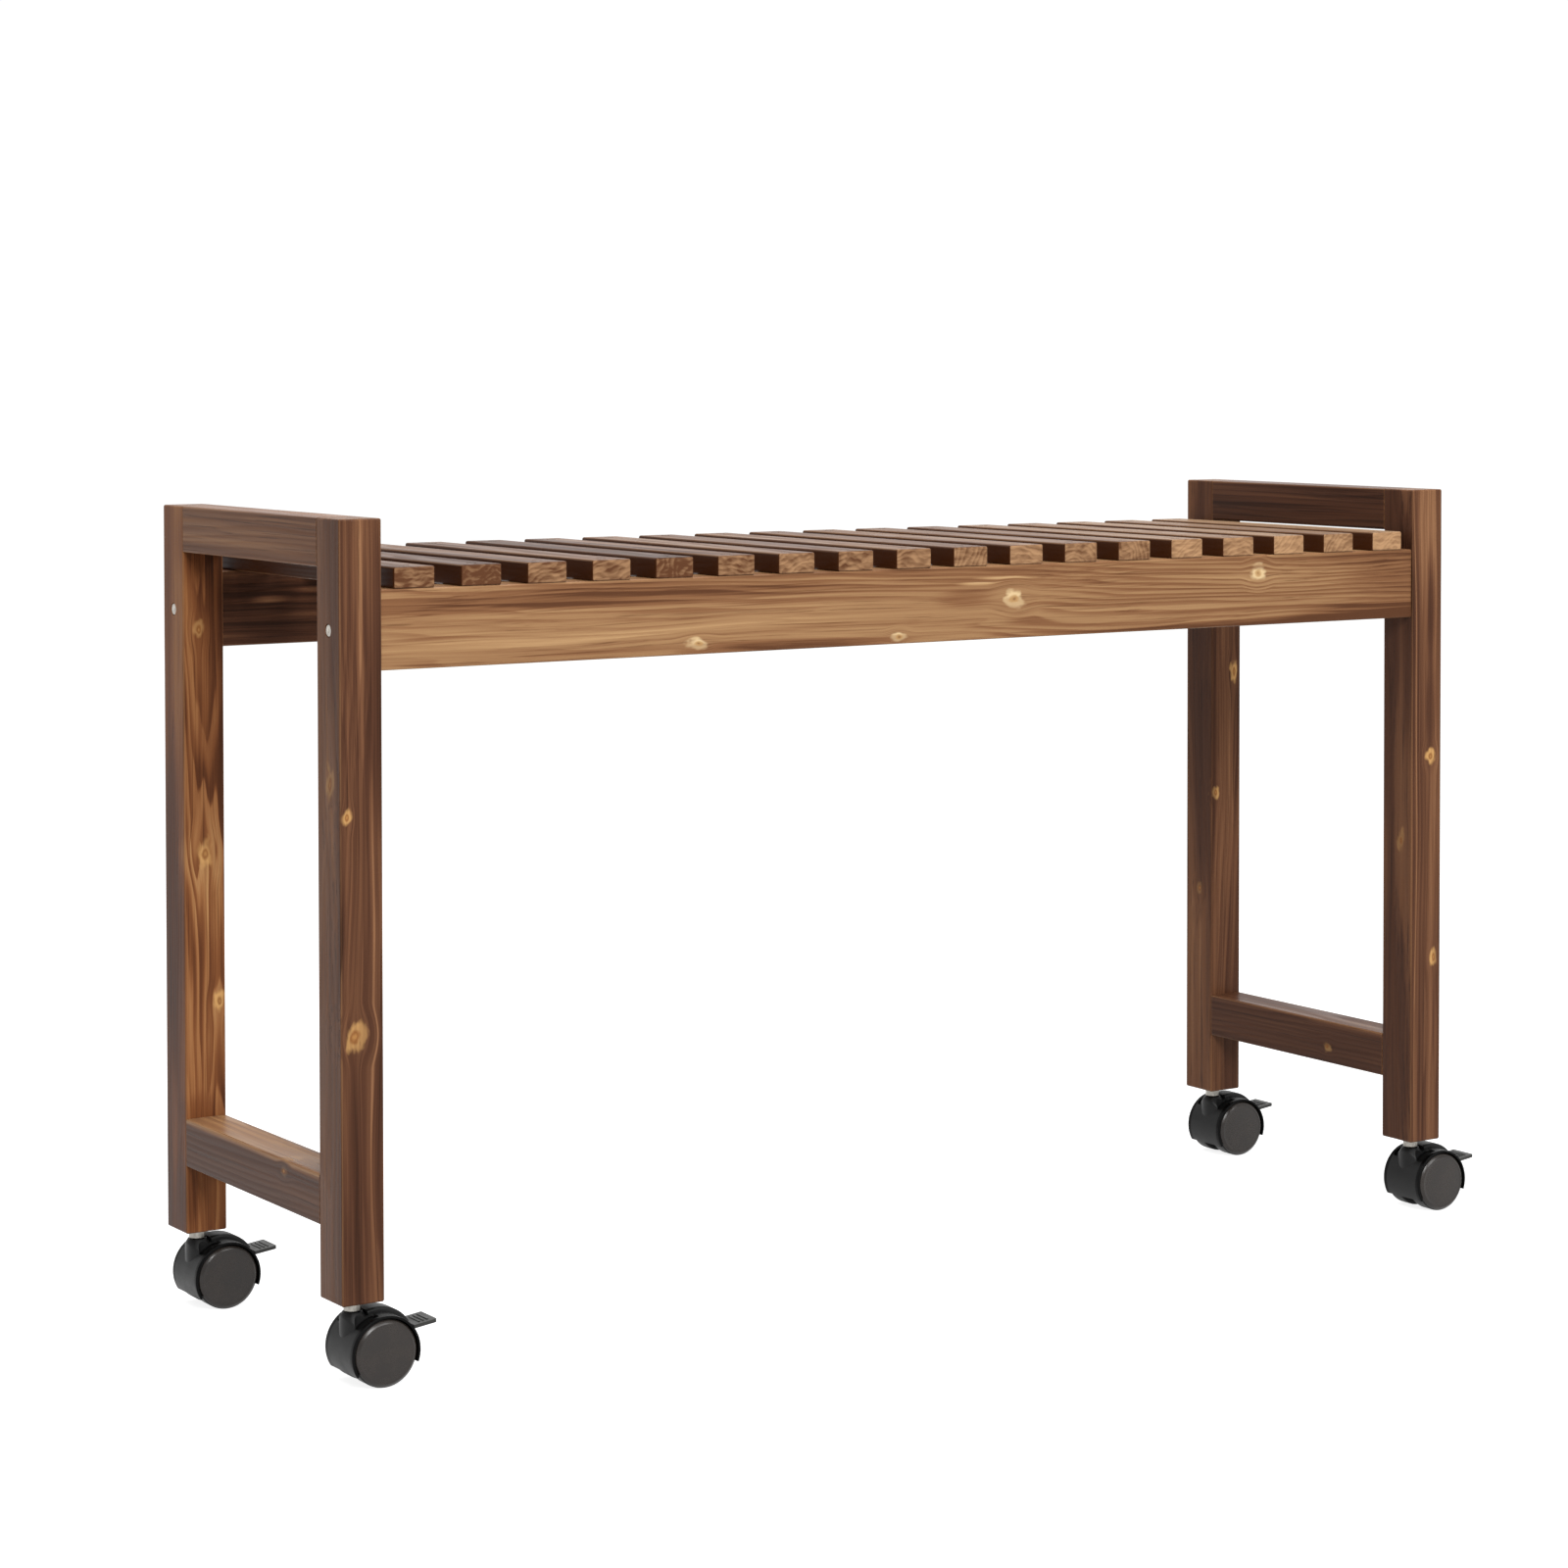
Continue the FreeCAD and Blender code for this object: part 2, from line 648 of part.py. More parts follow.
def make_wheel(side):
    bore = axle_radius + axle_bore_gap
    disc_inner = cap_seat - wheel_disc_thickness
    profile = [
        (bore, wheel_inner),
        (wheel_hub_radius, wheel_inner),
        (wheel_hub_radius, disc_inner),
        (rim_inner_radius, disc_inner),
        (rim_inner_radius, wheel_inner),
        (wheel_radius - tread_chamfer, wheel_inner),
        (wheel_radius, wheel_inner + tread_chamfer),
        (wheel_radius, wheel_outer - tread_chamfer),
        (wheel_radius - tread_chamfer, wheel_outer),
        (cap_seat_radius, wheel_outer),
        (cap_seat_radius, cap_seat),
        (bore, cap_seat),
    ]
    wheel = revolved(profile, side)
    pressed = pressed_pin_point() - axle_point
    first = math.degrees(math.atan2(pressed.z, pressed.x))
    notch_depth = disc_inner - wheel_inner
    notches = []
    for number in range(notch_count):
        place = around_axle(pressed.Length, first + number * 360 / notch_count)
        place.y = side * (wheel_inner - overcut)
        notches.append(rod(place, Vector(0, side, 0), notch_radius, notch_depth + overcut))
    return wheel.cut(notches)


def make_cap(side):
    # The rim of the cap is an arc that ends level, and its face is part of a large ball.
    def at(radius, out):
        return Vector(wheel_trail + radius, side * out, axle_height)

    rim_low = wheel_outer + cap_edge_height
    rim_top = rim_low + cap_rim_height
    face_radius = cap_radius - cap_rim_width
    bend_radius = (cap_rim_width ** 2 + cap_rim_height ** 2) / (2 * cap_rim_height)
    bend_angle = (math.pi / 2 + math.atan2(bend_radius - cap_rim_height, cap_rim_width)) / 2
    bend = at(face_radius + bend_radius * math.cos(bend_angle),
              rim_top - bend_radius + bend_radius * math.sin(bend_angle))
    lines = [
        at(0, cap_seat),
        at(cap_seat_radius - cap_fit_gap, cap_seat),
        at(cap_seat_radius - cap_fit_gap, wheel_outer),
        at(cap_radius, wheel_outer),
        at(cap_radius, rim_low),
    ]
    edges = [Part.makeLine(start, end) for start, end in zip(lines, lines[1:])]
    edges.append(Part.Arc(lines[-1], bend, at(face_radius, rim_top)).toShape())
    edges.append(Part.makeLine(at(face_radius, rim_top), at(0, rim_top)))
    edges.append(Part.makeLine(at(0, rim_top), lines[0]))
    cap = Part.Face(Part.Wire(edges)).revolve(axle_point, along_y, 360)
    ball_radius = (face_radius ** 2 + cap_dome ** 2) / (2 * cap_dome)
    ball_middle = axle_point + Vector(0, side * (rim_top + cap_dome - ball_radius), 0)
    face_height = math.degrees(math.asin((ball_radius - cap_dome) / ball_radius))
    dome = Part.makeSphere(ball_radius, ball_middle, Vector(0, side, 0), face_height, 90, 360)
    return cap.fuse(dome).removeSplitter()


def make_pins():
    axle_half = cap_seat - axle_end_gap
    axle = pin_with_chamfers(axle_point - along_y * axle_half, along_y, axle_radius,
                             2 * axle_half, lead_chamfer)
    pivot = rod(pivot_point - along_y * web_half, along_y, pivot_pin_radius, web_thickness)
    return [axle, pivot]


def make_casters():
    stem = make_stem()
    body = make_body()
    lever = make_lever()
    pins = make_pins()
    wheels = {side: [make_wheel(side), make_cap(side)] for side in (-1, 1)}
    for name, (side_x, side_y) in corners.items():
        place = Vector(side_x * post_x, side_y * post_y, 0)
        pieces = {
            "_caster_stem": [stem],
            "_caster_body": [body],
            "_caster_pins": pins,
            "_brake_lever": [lever],
            "_outer_wheel": wheels[side_y],
            "_inner_wheel": wheels[-side_y],
        }
        for ending, shapes in pieces.items():
            save(name + ending, [shape.translated(place) for shape in shapes])


def main():
    os.makedirs("parts", exist_ok=True)
    dowel_holes = dowel_shapes(dowel_gap, dowel_end_gap)
    make_posts(dowel_holes)
    make_end_rails(dowel_holes)
    make_long_rails(dowel_holes)
    make_slats()
    make_frame_hardware()
    make_casters()


main()
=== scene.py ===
import math

import bmesh
import bpy
from mathutils import Euler, Matrix, Vector


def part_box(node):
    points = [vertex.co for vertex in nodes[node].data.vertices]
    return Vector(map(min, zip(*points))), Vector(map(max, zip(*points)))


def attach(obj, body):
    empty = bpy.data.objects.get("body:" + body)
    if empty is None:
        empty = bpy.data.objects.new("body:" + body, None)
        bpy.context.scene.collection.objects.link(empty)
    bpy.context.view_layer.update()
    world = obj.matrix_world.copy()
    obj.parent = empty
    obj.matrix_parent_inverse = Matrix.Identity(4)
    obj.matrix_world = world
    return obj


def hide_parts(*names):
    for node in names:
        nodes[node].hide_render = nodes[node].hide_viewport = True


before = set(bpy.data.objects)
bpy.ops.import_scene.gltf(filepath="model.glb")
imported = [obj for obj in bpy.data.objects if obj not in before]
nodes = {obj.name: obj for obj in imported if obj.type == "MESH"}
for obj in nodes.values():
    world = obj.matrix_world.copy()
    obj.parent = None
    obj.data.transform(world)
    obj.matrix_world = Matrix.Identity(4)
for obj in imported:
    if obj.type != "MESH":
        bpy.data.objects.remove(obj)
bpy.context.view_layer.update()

mm = 0.001
corners = ("front_left", "back_left", "front_right", "back_right")
print("frame loaded:", len(nodes), "nodes")


# Small tools for shader nodes.
def linear(hexColour):
    parts = [int(hexColour[place:place + 2], 16) / 255 for place in (1, 3, 5)]
    return tuple(p / 12.92 if p <= 0.04045 else ((p + 0.055) / 1.055) ** 2.4 for p in parts) + (1,)


def add(tree, kind, settings=None, links=None):
    # Settings are attributes, or inputs by name or number. Links feed inputs and may be plain values.
    made = tree.nodes.new("ShaderNode" + kind)
    for key, value in (settings or {}).items():
        if isinstance(key, str) and hasattr(made, key):
            setattr(made, key, value)
        else:
            made.inputs[key].default_value = value
    for key, value in (links or {}).items():
        if isinstance(value, bpy.types.NodeSocket):
            tree.links.new(value, made.inputs[key])
        else:
            made.inputs[key].default_value = value
    return made


def calc(tree, operation, first, second=0.0):
    return add(tree, "Math", {"operation": operation}, {0: first, 1: second}).outputs[0]


def vector(tree, operation, first, second=(0, 0, 0), third=(0, 0, 0)):
    return add(tree, "VectorMath", {"operation": operation}, {0: first, 1: second, 2: third}).outputs


def ramp(tree, value, low, high, fromLow=0.0, fromHigh=1.0):
    # Smooth step from one value to another.
    settings = {"interpolation_type": "SMOOTHSTEP"}
    links = {0: value, 1: fromLow, 2: fromHigh, 3: low, 4: high}
    return add(tree, "MapRange", settings, links).outputs[0]


def blend(tree, amount, under, over):
    return add(tree, "Mix", {"data_type": "RGBA"}, {0: amount, 6: under, 7: over}).outputs[2]


def noise(tree, place, size, detail=2.0, roughness=0.5, offset=0.0):
    # Noise whose blobs are as long, wide and deep as size says, in mm. The offset keeps patterns apart.
    shift = (offset, offset * 0.7, -offset)
    moved = vector(tree, "MULTIPLY_ADD", place, [1 / s for s in size], shift)[0]
    settings = {"Scale": 1.0, "Detail": detail, "Roughness": roughness}
    return add(tree, "TexNoise", settings, {"Vector": moved})


def inMillimetres(tree):
    # The object's own coordinates, counted in mm.
    place = add(tree, "TexCoord").outputs["Object"]
    return add(tree, "Mapping", {"Scale": (1 / mm, 1 / mm, 1 / mm)}, {"Vector": place}).outputs[0]


def newMaterial(name):
    material = bpy.data.materials.new(name)
    material.use_nodes = True
    material.node_tree.nodes.clear()
    return material, material.node_tree


def finishMaterial(tree, settings, links):
    shader = add(tree, "BsdfPrincipled", settings, links)
    add(tree, "OutputMaterial", links={"Surface": shader.outputs[0]})


def dress(piece, material):
    piece.data.materials.clear()
    piece.data.materials.append(material)


def middle(name):
    low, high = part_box(name)
    return (low + high) / 2, (high - low) / 2


# Carbonized fir: torched, brushed and sealed with a satin varnish.
grainTurn = {                   # turns the grain of a timber on to its own X axis
    "x": Euler((0, 0, 0)),
    "y": Euler((0, 0, math.radians(90))),
    "z": Euler((0, math.radians(-90), 0)),
}

fir = {                         # lengths in mm, along, across and through the timber
    "ior": 1.5,
    "gloss": 0.07,              # the varnish is thin, so it shines mostly at low angles
    "roughness": (0.3, 0.4),    # summer wood, winter rings
    "fibreShine": (-0.04, 0.05),    # what the fibres add to the roughness
    "relief": 0.14,             # brushed winter rings stand proud
    "bump": 0.4,
    "bend": (420, 60, 60),      # sizes of the patterns, from the widest to the finest
    "broad": (800, 14, 14),
    "cloud": (260, 26, 26),
    "streak": (420, 4.4, 4.4),
    "fibre": (200, 1.0, 1.0),
    "wobble": (14, 7, 7),       # makes the outline of a knot uneven
    "fleck": (9, 10, 3.6),      # on the sawn ends
    "logSpread": (3000, 90, 60),    # how far apart in the log the slats are cut
    "ringWaver": (3.0, 2.2),    # how far the rings wander with the cloud and the broad pattern
    "shadeStep": 0.22, "shadeReach": 0.26,      # tone from one shade to the next, and its blending
    "knotReach": 14,            # depth of a knot, where it has none of its own
    "knotPull": -0.5, "pullReach": 3.2,         # how much and how far the grain bends round a knot
    "heartStrength": 0.75, "coreStrength": 0.6,
    "edgeWearAndHighlight": 1.4,            # paler wood along the round-overs
}

darkFir = {                     # the posts and end rails
    "shades": ("#321D13", "#503223", "#704B34", "#92694A", "#BD9265"),
    "knotPale": "#D0A064", "knotHeart": "#7E4A24", "knotCore": "#B98850",
    "rubbed": "#9A7350", "end": "#5A3A26", "endPale": "#8A6242",
    "tone": 0.41, "swing": (0.70, 0.55, 0.30), "rings": 0.12, "ring": 5.0, "pith": (46, -38),
    "calm": (1, 1), "plain": 1.0,
    "lean": (0.012, 0.02), "wander": 7.0, "cut": (0, 0, 0), "wearAndHighlight": 0.5, "knots": [], "tones": [],
}


def variant(look, **changes):
    made = dict(look)
    made.update(changes)
    return made


goldenFir = variant(            # the front rail
    darkFir, shades=("#583723", "#80583B", "#9C7753", "#B38E65", "#CCAC80"),
    knotPale="#DCC093", knotHeart="#AC8250", knotCore="#6E4A30", rubbed="#B88F68",
    tone=0.40, swing=(0.36, 0.42, 0.38), rings=0.20, ring=3.6)


def timberMaterial(name, nodeName, grain, look):
    # The eye gets long streaks from charred brown to gold that bend round pale knots with a dark
    #  heart, fine dark fibres, pale round-overs that are partly rubbed wear and partly a painted highlight,
    #  and a sheen at low angles. On slats, painted shade darkens the sides in the gaps.
    material, tree = newMaterial(name)
    centre, half = middle(nodeName)
    turn = grainTurn[grain]
    toLocal = turn.to_matrix().transposed()
    size = [abs(c) / mm for c in toLocal @ half]
    place = add(tree, "TexCoord").outputs["Object"]
    settings = {"vector_type": "TEXTURE", "Rotation": turn, "Scale": (mm, mm, mm), "Location": centre}
    local = add(tree, "Mapping", settings, {"Vector": place}).outputs[0]
    toneShift = 0.0
    cut = look["cut"]
    if "pitch" in look:
        # Every slat is another piece of timber: its number along the shelf picks its place in the log.
        across = add(tree, "SeparateXYZ", links={0: local}).outputs["Y"]
        number = calc(tree, "ROUND", calc(tree, "DIVIDE", across, -look["pitch"]))
        back = add(tree, "CombineXYZ", links={"Y": calc(tree, "MULTIPLY", number, look["pitch"])})
        local = vector(tree, "ADD", local, back.outputs[0])[0]
        luck = add(tree, "TexWhiteNoise", {"noise_dimensions": "1D"}, {"W": number}).outputs
        spread = fir["logSpread"]
        back = (0, -spread[1] / 2, -spread[2] / 2)
        cut = vector(tree, "MULTIPLY_ADD", luck["Color"], spread, back)[0]
        toneShift = ramp(tree, luck["Value"], -look["luck"], look["luck"])
        drift = ramp(tree, number, -look["drift"], look["drift"], 0, look["count"])
        toneShift = calc(tree, "ADD", toneShift, drift)
        size[1] = look["width"] / 2
    log = vector(tree, "ADD", local, cut)[0]
    parts = add(tree, "SeparateXYZ", links={0: local}).outputs

    # The grain wanders a little and bends round the knots. Calm timber has wider streaks.
    widths = {}
    for pattern in ("broad", "streak", "fibre"):
        length, width, depth = fir[pattern]
        widths[pattern] = (length, width * look["calm"][0], depth * look["calm"][1])
    bend = noise(tree, log, fir["bend"], 2.0, 0.45).outputs["Color"]
    wander = look["wander"]
    swing, back = (0, 4 * wander, 4 * wander), (0, -2 * wander, -2 * wander)
    bend = vector(tree, "MULTIPLY_ADD", bend, swing, back)[0]
    bent = vector(tree, "ADD", log, bend)[0]
    wobble = noise(tree, log, fir["wobble"], 2.0, 0.55, 3.0).outputs[0]
    wobble = ramp(tree, wobble, -0.45, 0.45, 0.25, 0.75)
    halo, heart, core = 0.0, 0.0, 0.0
    for knot in look["knots"]:
        at = toLocal @ (Vector(knot["at"]) * mm - centre) / mm
        reach = [knot["size"] * knot.get("long", 1.3), knot["size"], knot["size"]]
        onWide = abs(abs(at.z) - size[2]) < abs(abs(at.y) - size[1])
        reach[2 if onWide else 1] = knot.get("deep", fir["knotReach"])
        away = vector(tree, "SUBTRACT", local, at)[0]
        away = vector(tree, "MULTIPLY", away, [1 / r for r in reach])[0]
        plain = vector(tree, "LENGTH", away)["Value"]
        pull = ramp(tree, plain, fir["knotPull"] * knot["size"], 0.0, 0.8, fir["pullReach"])
        aside = vector(tree, "MULTIPLY", away, (0, 1, 1))[0]
        aside = add(tree, "VectorMath", {"operation": "SCALE"}, {0: aside, "Scale": pull}).outputs[0]
        bent = vector(tree, "ADD", bent, aside)[0]
        distance = calc(tree, "ADD", plain, wobble)
        pale = ramp(tree, distance, knot.get("pale", 0.9), 0.0, 0.6, 1.3)
        halo = calc(tree, "MAXIMUM", halo, pale)
        distance = calc(tree, "ADD", plain, calc(tree, "MULTIPLY", wobble, 0.4))
        heart = calc(tree, "MAXIMUM", heart, ramp(tree, distance, 1.0, 0.0, 0.3, 0.62))
        core = calc(tree, "MAXIMUM", core, ramp(tree, distance, 1.0, 0.0, 0.06, 0.3))

    # Tone: 0 is charred, 1 is gold. Measured patches first, then the streaks; some patches are painted shade
    # or a painted sheen on a whole face.
    tone = calc(tree, "ADD", calc(tree, "MULTIPLY", toneShift, 0.5), look["tone"])
    for spot, reach, amount in look["tones"]:
        at = toLocal @ (Vector(spot) * mm - centre) / mm
        span = [1 / abs(r) for r in toLocal @ Vector(reach)]
        away = vector(tree, "SUBTRACT", bent, vector(tree, "ADD", cut, at)[0])[0]
        away = vector(tree, "MULTIPLY", away, span)[0]
        near = ramp(tree, vector(tree, "LENGTH", away)["Value"], amount, 0.0, 0.25, 1.1)
        tone = calc(tree, "ADD", tone, near)
    broad = noise(tree, bent, widths["broad"], 2.0, 0.5, 5.0).outputs[0]
    streak = noise(tree, bent, widths["streak"], 3.0, 0.6, 1.0).outputs[0]
    fibre = noise(tree, bent, widths["fibre"], 3.0, 0.65, 8.0).outputs[0]
    cloud = noise(tree, log, fir["cloud"], 2.0, 0.5, 9.0).outputs[0]
    for pattern, strength in zip((broad, streak, fibre), look["swing"]):
        swing = calc(tree, "MULTIPLY", calc(tree, "SUBTRACT", pattern, 0.5), strength)
        tone = calc(tree, "ADD", tone, swing)

    # Growth rings about the heart of the log, which lies beside the timber.
    pithY, pithZ = look["pith"]
    leanY, leanZ = look["lean"]
    besideY = calc(tree, "SUBTRACT", vector(tree, "DOT_PRODUCT", bent, (leanY, 1, 0))["Value"], pithY)
    besideZ = calc(tree, "SUBTRACT", vector(tree, "DOT_PRODUCT", bent, (leanZ, 0, 1))["Value"], pithZ)
    squareY, squareZ = (calc(tree, "MULTIPLY", beside, beside) for beside in (besideY, besideZ))
    radius = calc(tree, "SQRT", calc(tree, "ADD", squareY, squareZ))
    for pattern, waver in zip((cloud, broad), fir["ringWaver"]):
        radius = calc(tree, "ADD", radius, ramp(tree, pattern, -waver, waver, 0.2, 0.8))
    ring = calc(tree, "FRACT", calc(tree, "DIVIDE", radius, look["ring"]))
    rising, falling = ramp(tree, ring, 0.0, 1.0, 0.15, 0.8), ramp(tree, ring, 1.0, 0.0, 0.88, 1.0)
    winter = calc(tree, "MULTIPLY", rising, falling)
    showing = calc(tree, "MULTIPLY", ramp(tree, cloud, 0.25, 1.0, 0.38, 0.62), -look["rings"])
    # Rings fade on the faces that are cut along them.
    absX, absY, absZ = (calc(tree, "ABSOLUTE", parts[axis]) for axis in "XYZ")
    onPlain = ramp(tree, absZ, 1.0, look["plain"], size[2] - 1.2, size[2] - 0.6)
    showing = calc(tree, "MULTIPLY", showing, onPlain)
    tone = calc(tree, "ADD", tone, calc(tree, "MULTIPLY", winter, showing))

    shades = [linear(shade) for shade in look["shades"]]
    colour = shades[0]
    for step, shade in enumerate(shades[1:]):
        first = fir["shadeStep"] * step
        amount = ramp(tree, tone, 0.0, 1.0, first, first + fir["shadeReach"])
        colour = blend(tree, amount, colour, shade)
    darkFibre = ramp(tree, fibre, 0.55, 0.0, 0.30, 0.44)
    colour = blend(tree, darkFibre, colour, shades[0])

    # Ends show the saw cut; round-overs are paler, partly rubbed wear and partly a painted highlight.
    atEnd = ramp(tree, absX, 0.0, 1.0, size[0] - 0.6, size[0] - 0.15)
    fleck = noise(tree, bent, fir["fleck"], 2.0, 0.5, 2.0).outputs[0]
    fleck = ramp(tree, fleck, 0.28, 0.72, 0.3, 0.7)
    endTone = calc(tree, "ADD", calc(tree, "MULTIPLY", toneShift, 0.9), fleck)
    endTone = calc(tree, "SUBTRACT", endTone, calc(tree, "MULTIPLY", winter, 0.22))
    endColour = blend(tree, endTone, linear(look["end"]), linear(look["endPale"]))
    colour = blend(tree, atEnd, colour, endColour)
    # Painted shade: the slats' long sides, deep in the narrow gaps, are darkened with the side colour to
    # stand in for the shade there.
    if "side" in look:
        gapShadeMask = ramp(tree, absY, 0.0, 1.0, size[1] - 1.4, size[1] - 0.5)
        inside = calc(tree, "SUBTRACT", gapShadeMask, atEnd)
        colour = blend(tree, ramp(tree, inside, 0.0, 1.0), colour, linear(look["side"]))
    # Painted highlight and wear: the round-overs are blended towards the pale rubbed colour.
    nearY = ramp(tree, absY, 0.0, 1.0, size[1] - fir["edgeWearAndHighlight"], size[1] - 0.2)
    nearZ = ramp(tree, absZ, 0.0, 1.0, size[2] - fir["edgeWearAndHighlight"], size[2] - 0.2)
    patchy = calc(tree, "MULTIPLY", ramp(tree, streak, 0.25, 1.0, 0.42, 0.6), look["wearAndHighlight"])
    wearAndHighlight = calc(tree, "MULTIPLY", calc(tree, "MULTIPLY", nearY, nearZ), patchy)
    colour = blend(tree, wearAndHighlight, colour, linear(look["rubbed"]))
    if look["knots"]:
        broken = calc(tree, "MULTIPLY", halo, ramp(tree, streak, 0.45, 1.0, 0.38, 0.56))
        colour = blend(tree, broken, colour, linear(look["knotPale"]))
        heart = calc(tree, "MULTIPLY", heart, fir["heartStrength"])
        colour = blend(tree, heart, colour, linear(look["knotHeart"]))
        core = calc(tree, "MULTIPLY", core, fir["coreStrength"])
        colour = blend(tree, core, colour, linear(look["knotCore"]))

    low, high = look.get("roughness", fir["roughness"])
    shine = ramp(tree, fibre, *fir["fibreShine"], 0.3, 0.7)
    roughness = calc(tree, "ADD", ramp(tree, winter, low, high), shine)
    height = calc(tree, "ADD", calc(tree, "MULTIPLY", winter, 0.4), fibre)
    settings = {"Strength": fir["bump"], "Distance": look.get("relief", fir["relief"]) * mm}
    bump = add(tree, "Bump", settings, {"Height": height}).outputs[0]
    finishMaterial(tree, {"IOR": fir["ior"], "Specular IOR Level": fir["gloss"]},
                   {"Base Color": colour, "Roughness": roughness, "Normal": bump})
    return material


# Knots and tone patches as seen on the real stand: places and reaches in mm of the row frame. Patches marked
# as painted shade or a painted sheen stand in for light, not for the timber.
postLooks = {
    "front_left": variant(
        darkFir, cut=(0, 12, 5), tone=0.40, calm=(2.8, 1), plain=0.2,
        knots=[
            {"at": (-511, -150, 245), "size": 7.5, "deep": 14, "long": 1.15},
            {"at": (-516.5, -150, 396), "size": 3.0, "deep": 8, "long": 1.8, "pale": 0.7},
            {"at": (-521.4, -134, 417), "size": 5, "long": 2.6, "pale": 0.35, "deep": 8},
        ],
        tones=[
            ((-503.5, -150, 540), (2.4, 12, 130), 0.26),
            ((-496.5, -150, 250), (1.1, 10, 240), 0.26),
            ((-492, -150, 500), (7, 14, 160), -0.16),
            ((-491, -150, 160), (4, 14, 150), -0.20),
            ((-519, -150, 300), (6, 12, 60), -0.16),
            ((-508, -150, 120), (16, 14, 130), -0.12),
            ((-506, -150, 570), (18, 14, 70), 0.08),
        ]),
    "back_left": variant(
        darkFir, shades=("#361D11", "#58321D", "#7B4B2C", "#9A6840", "#B38658"),
        cut=(400, -20, -8), tone=0.54, wander=4.0, rings=0.38, ring=2.9, pith=(20, -30),
        lean=(0.02, -0.03), calm=(2.8, 1), plain=0.1, swing=(0.45, 0.45, 0.3),
        knots=[
            {"at": (-509, 114, 508), "size": 3.6, "deep": 9, "long": 2.0},
            {"at": (-505, 114, 342), "size": 6, "long": 1.8, "deep": 12, "pale": 0.7},
            {"at": (-494, 114, 231), "size": 4, "long": 1.9, "deep": 9},
        ],
        tones=[
            ((-511, 114, 490), (6, 14, 110), 0.16),
            ((-494, 114, 520), (9, 16, 90), -0.20),
            ((-505, 114, 575), (24, 20, 40), -0.20),
            ((-505, 114, 335), (20, 14, 70), 0.28),
            ((-505, 114, 230), (20, 14, 110), 0.15),
            ((-505, 114, 150), (24, 18, 18), -0.12),
            ((-517, 114, 85), (7, 16, 40), -0.26),
            # Painted shade: darkens the whole -X face of the post, the side turned from the light.
            ((-521.4, 132, 320), (3, 30, 1500), -0.40),
        ]),
    "front_right": variant(
        darkFir, cut=(900, 6, 14), tone=0.45, calm=(2.8, 1), plain=0.2,
        knots=[
            {"at": (467, -150, 379), "size": 4.6, "deep": 10, "long": 1.2},
            {"at": (471, -150, 212), "size": 3.2, "long": 2.0, "deep": 9},
            {"at": (446.7, -137, 309), "size": 4, "long": 2.4, "pale": 0.3, "deep": 8},
        ],
        tones=[
            ((463, -150, 570), (20, 16, 90), 0.14),
            ((467, -150, 505), (5, 12, 60), -0.34),
            ((468, -150, 420), (6, 12, 60), -0.26),
            ((464, -150, 130), (16, 14, 140), -0.07),
            # Painted shade: darkens the whole inner -X face of the post, which lies in shade.
            ((446.7, -132, 300), (4, 30, 1500), -0.32),
            ((450.5, -150, 400), (0.9, 6, 400), 0.30),
        ]),
    "back_right": variant(
        darkFir, cut=(1500, -9, 3), tone=0.42, calm=(2.8, 1), plain=0.2,
        knots=[
            {"at": (471, 114, 431), "size": 4, "long": 2.2, "deep": 9},
            {"at": (451, 114, 325), "size": 3.0, "long": 1.8, "deep": 9},
            {"at": (446.7, 131, 239), "size": 4, "pale": 0.25, "deep": 8},
        ],
        tones=[
            ((466, 114, 330), (12, 14, 120), 0.12),
            # Painted shade: darkens the whole inner -X face of the post, which lies in shade.
            ((446.7, 132, 300), (4, 30, 1500), -0.16),
            ((462, 114, 400), (30, 6, 300), -0.06),
        ]),
}

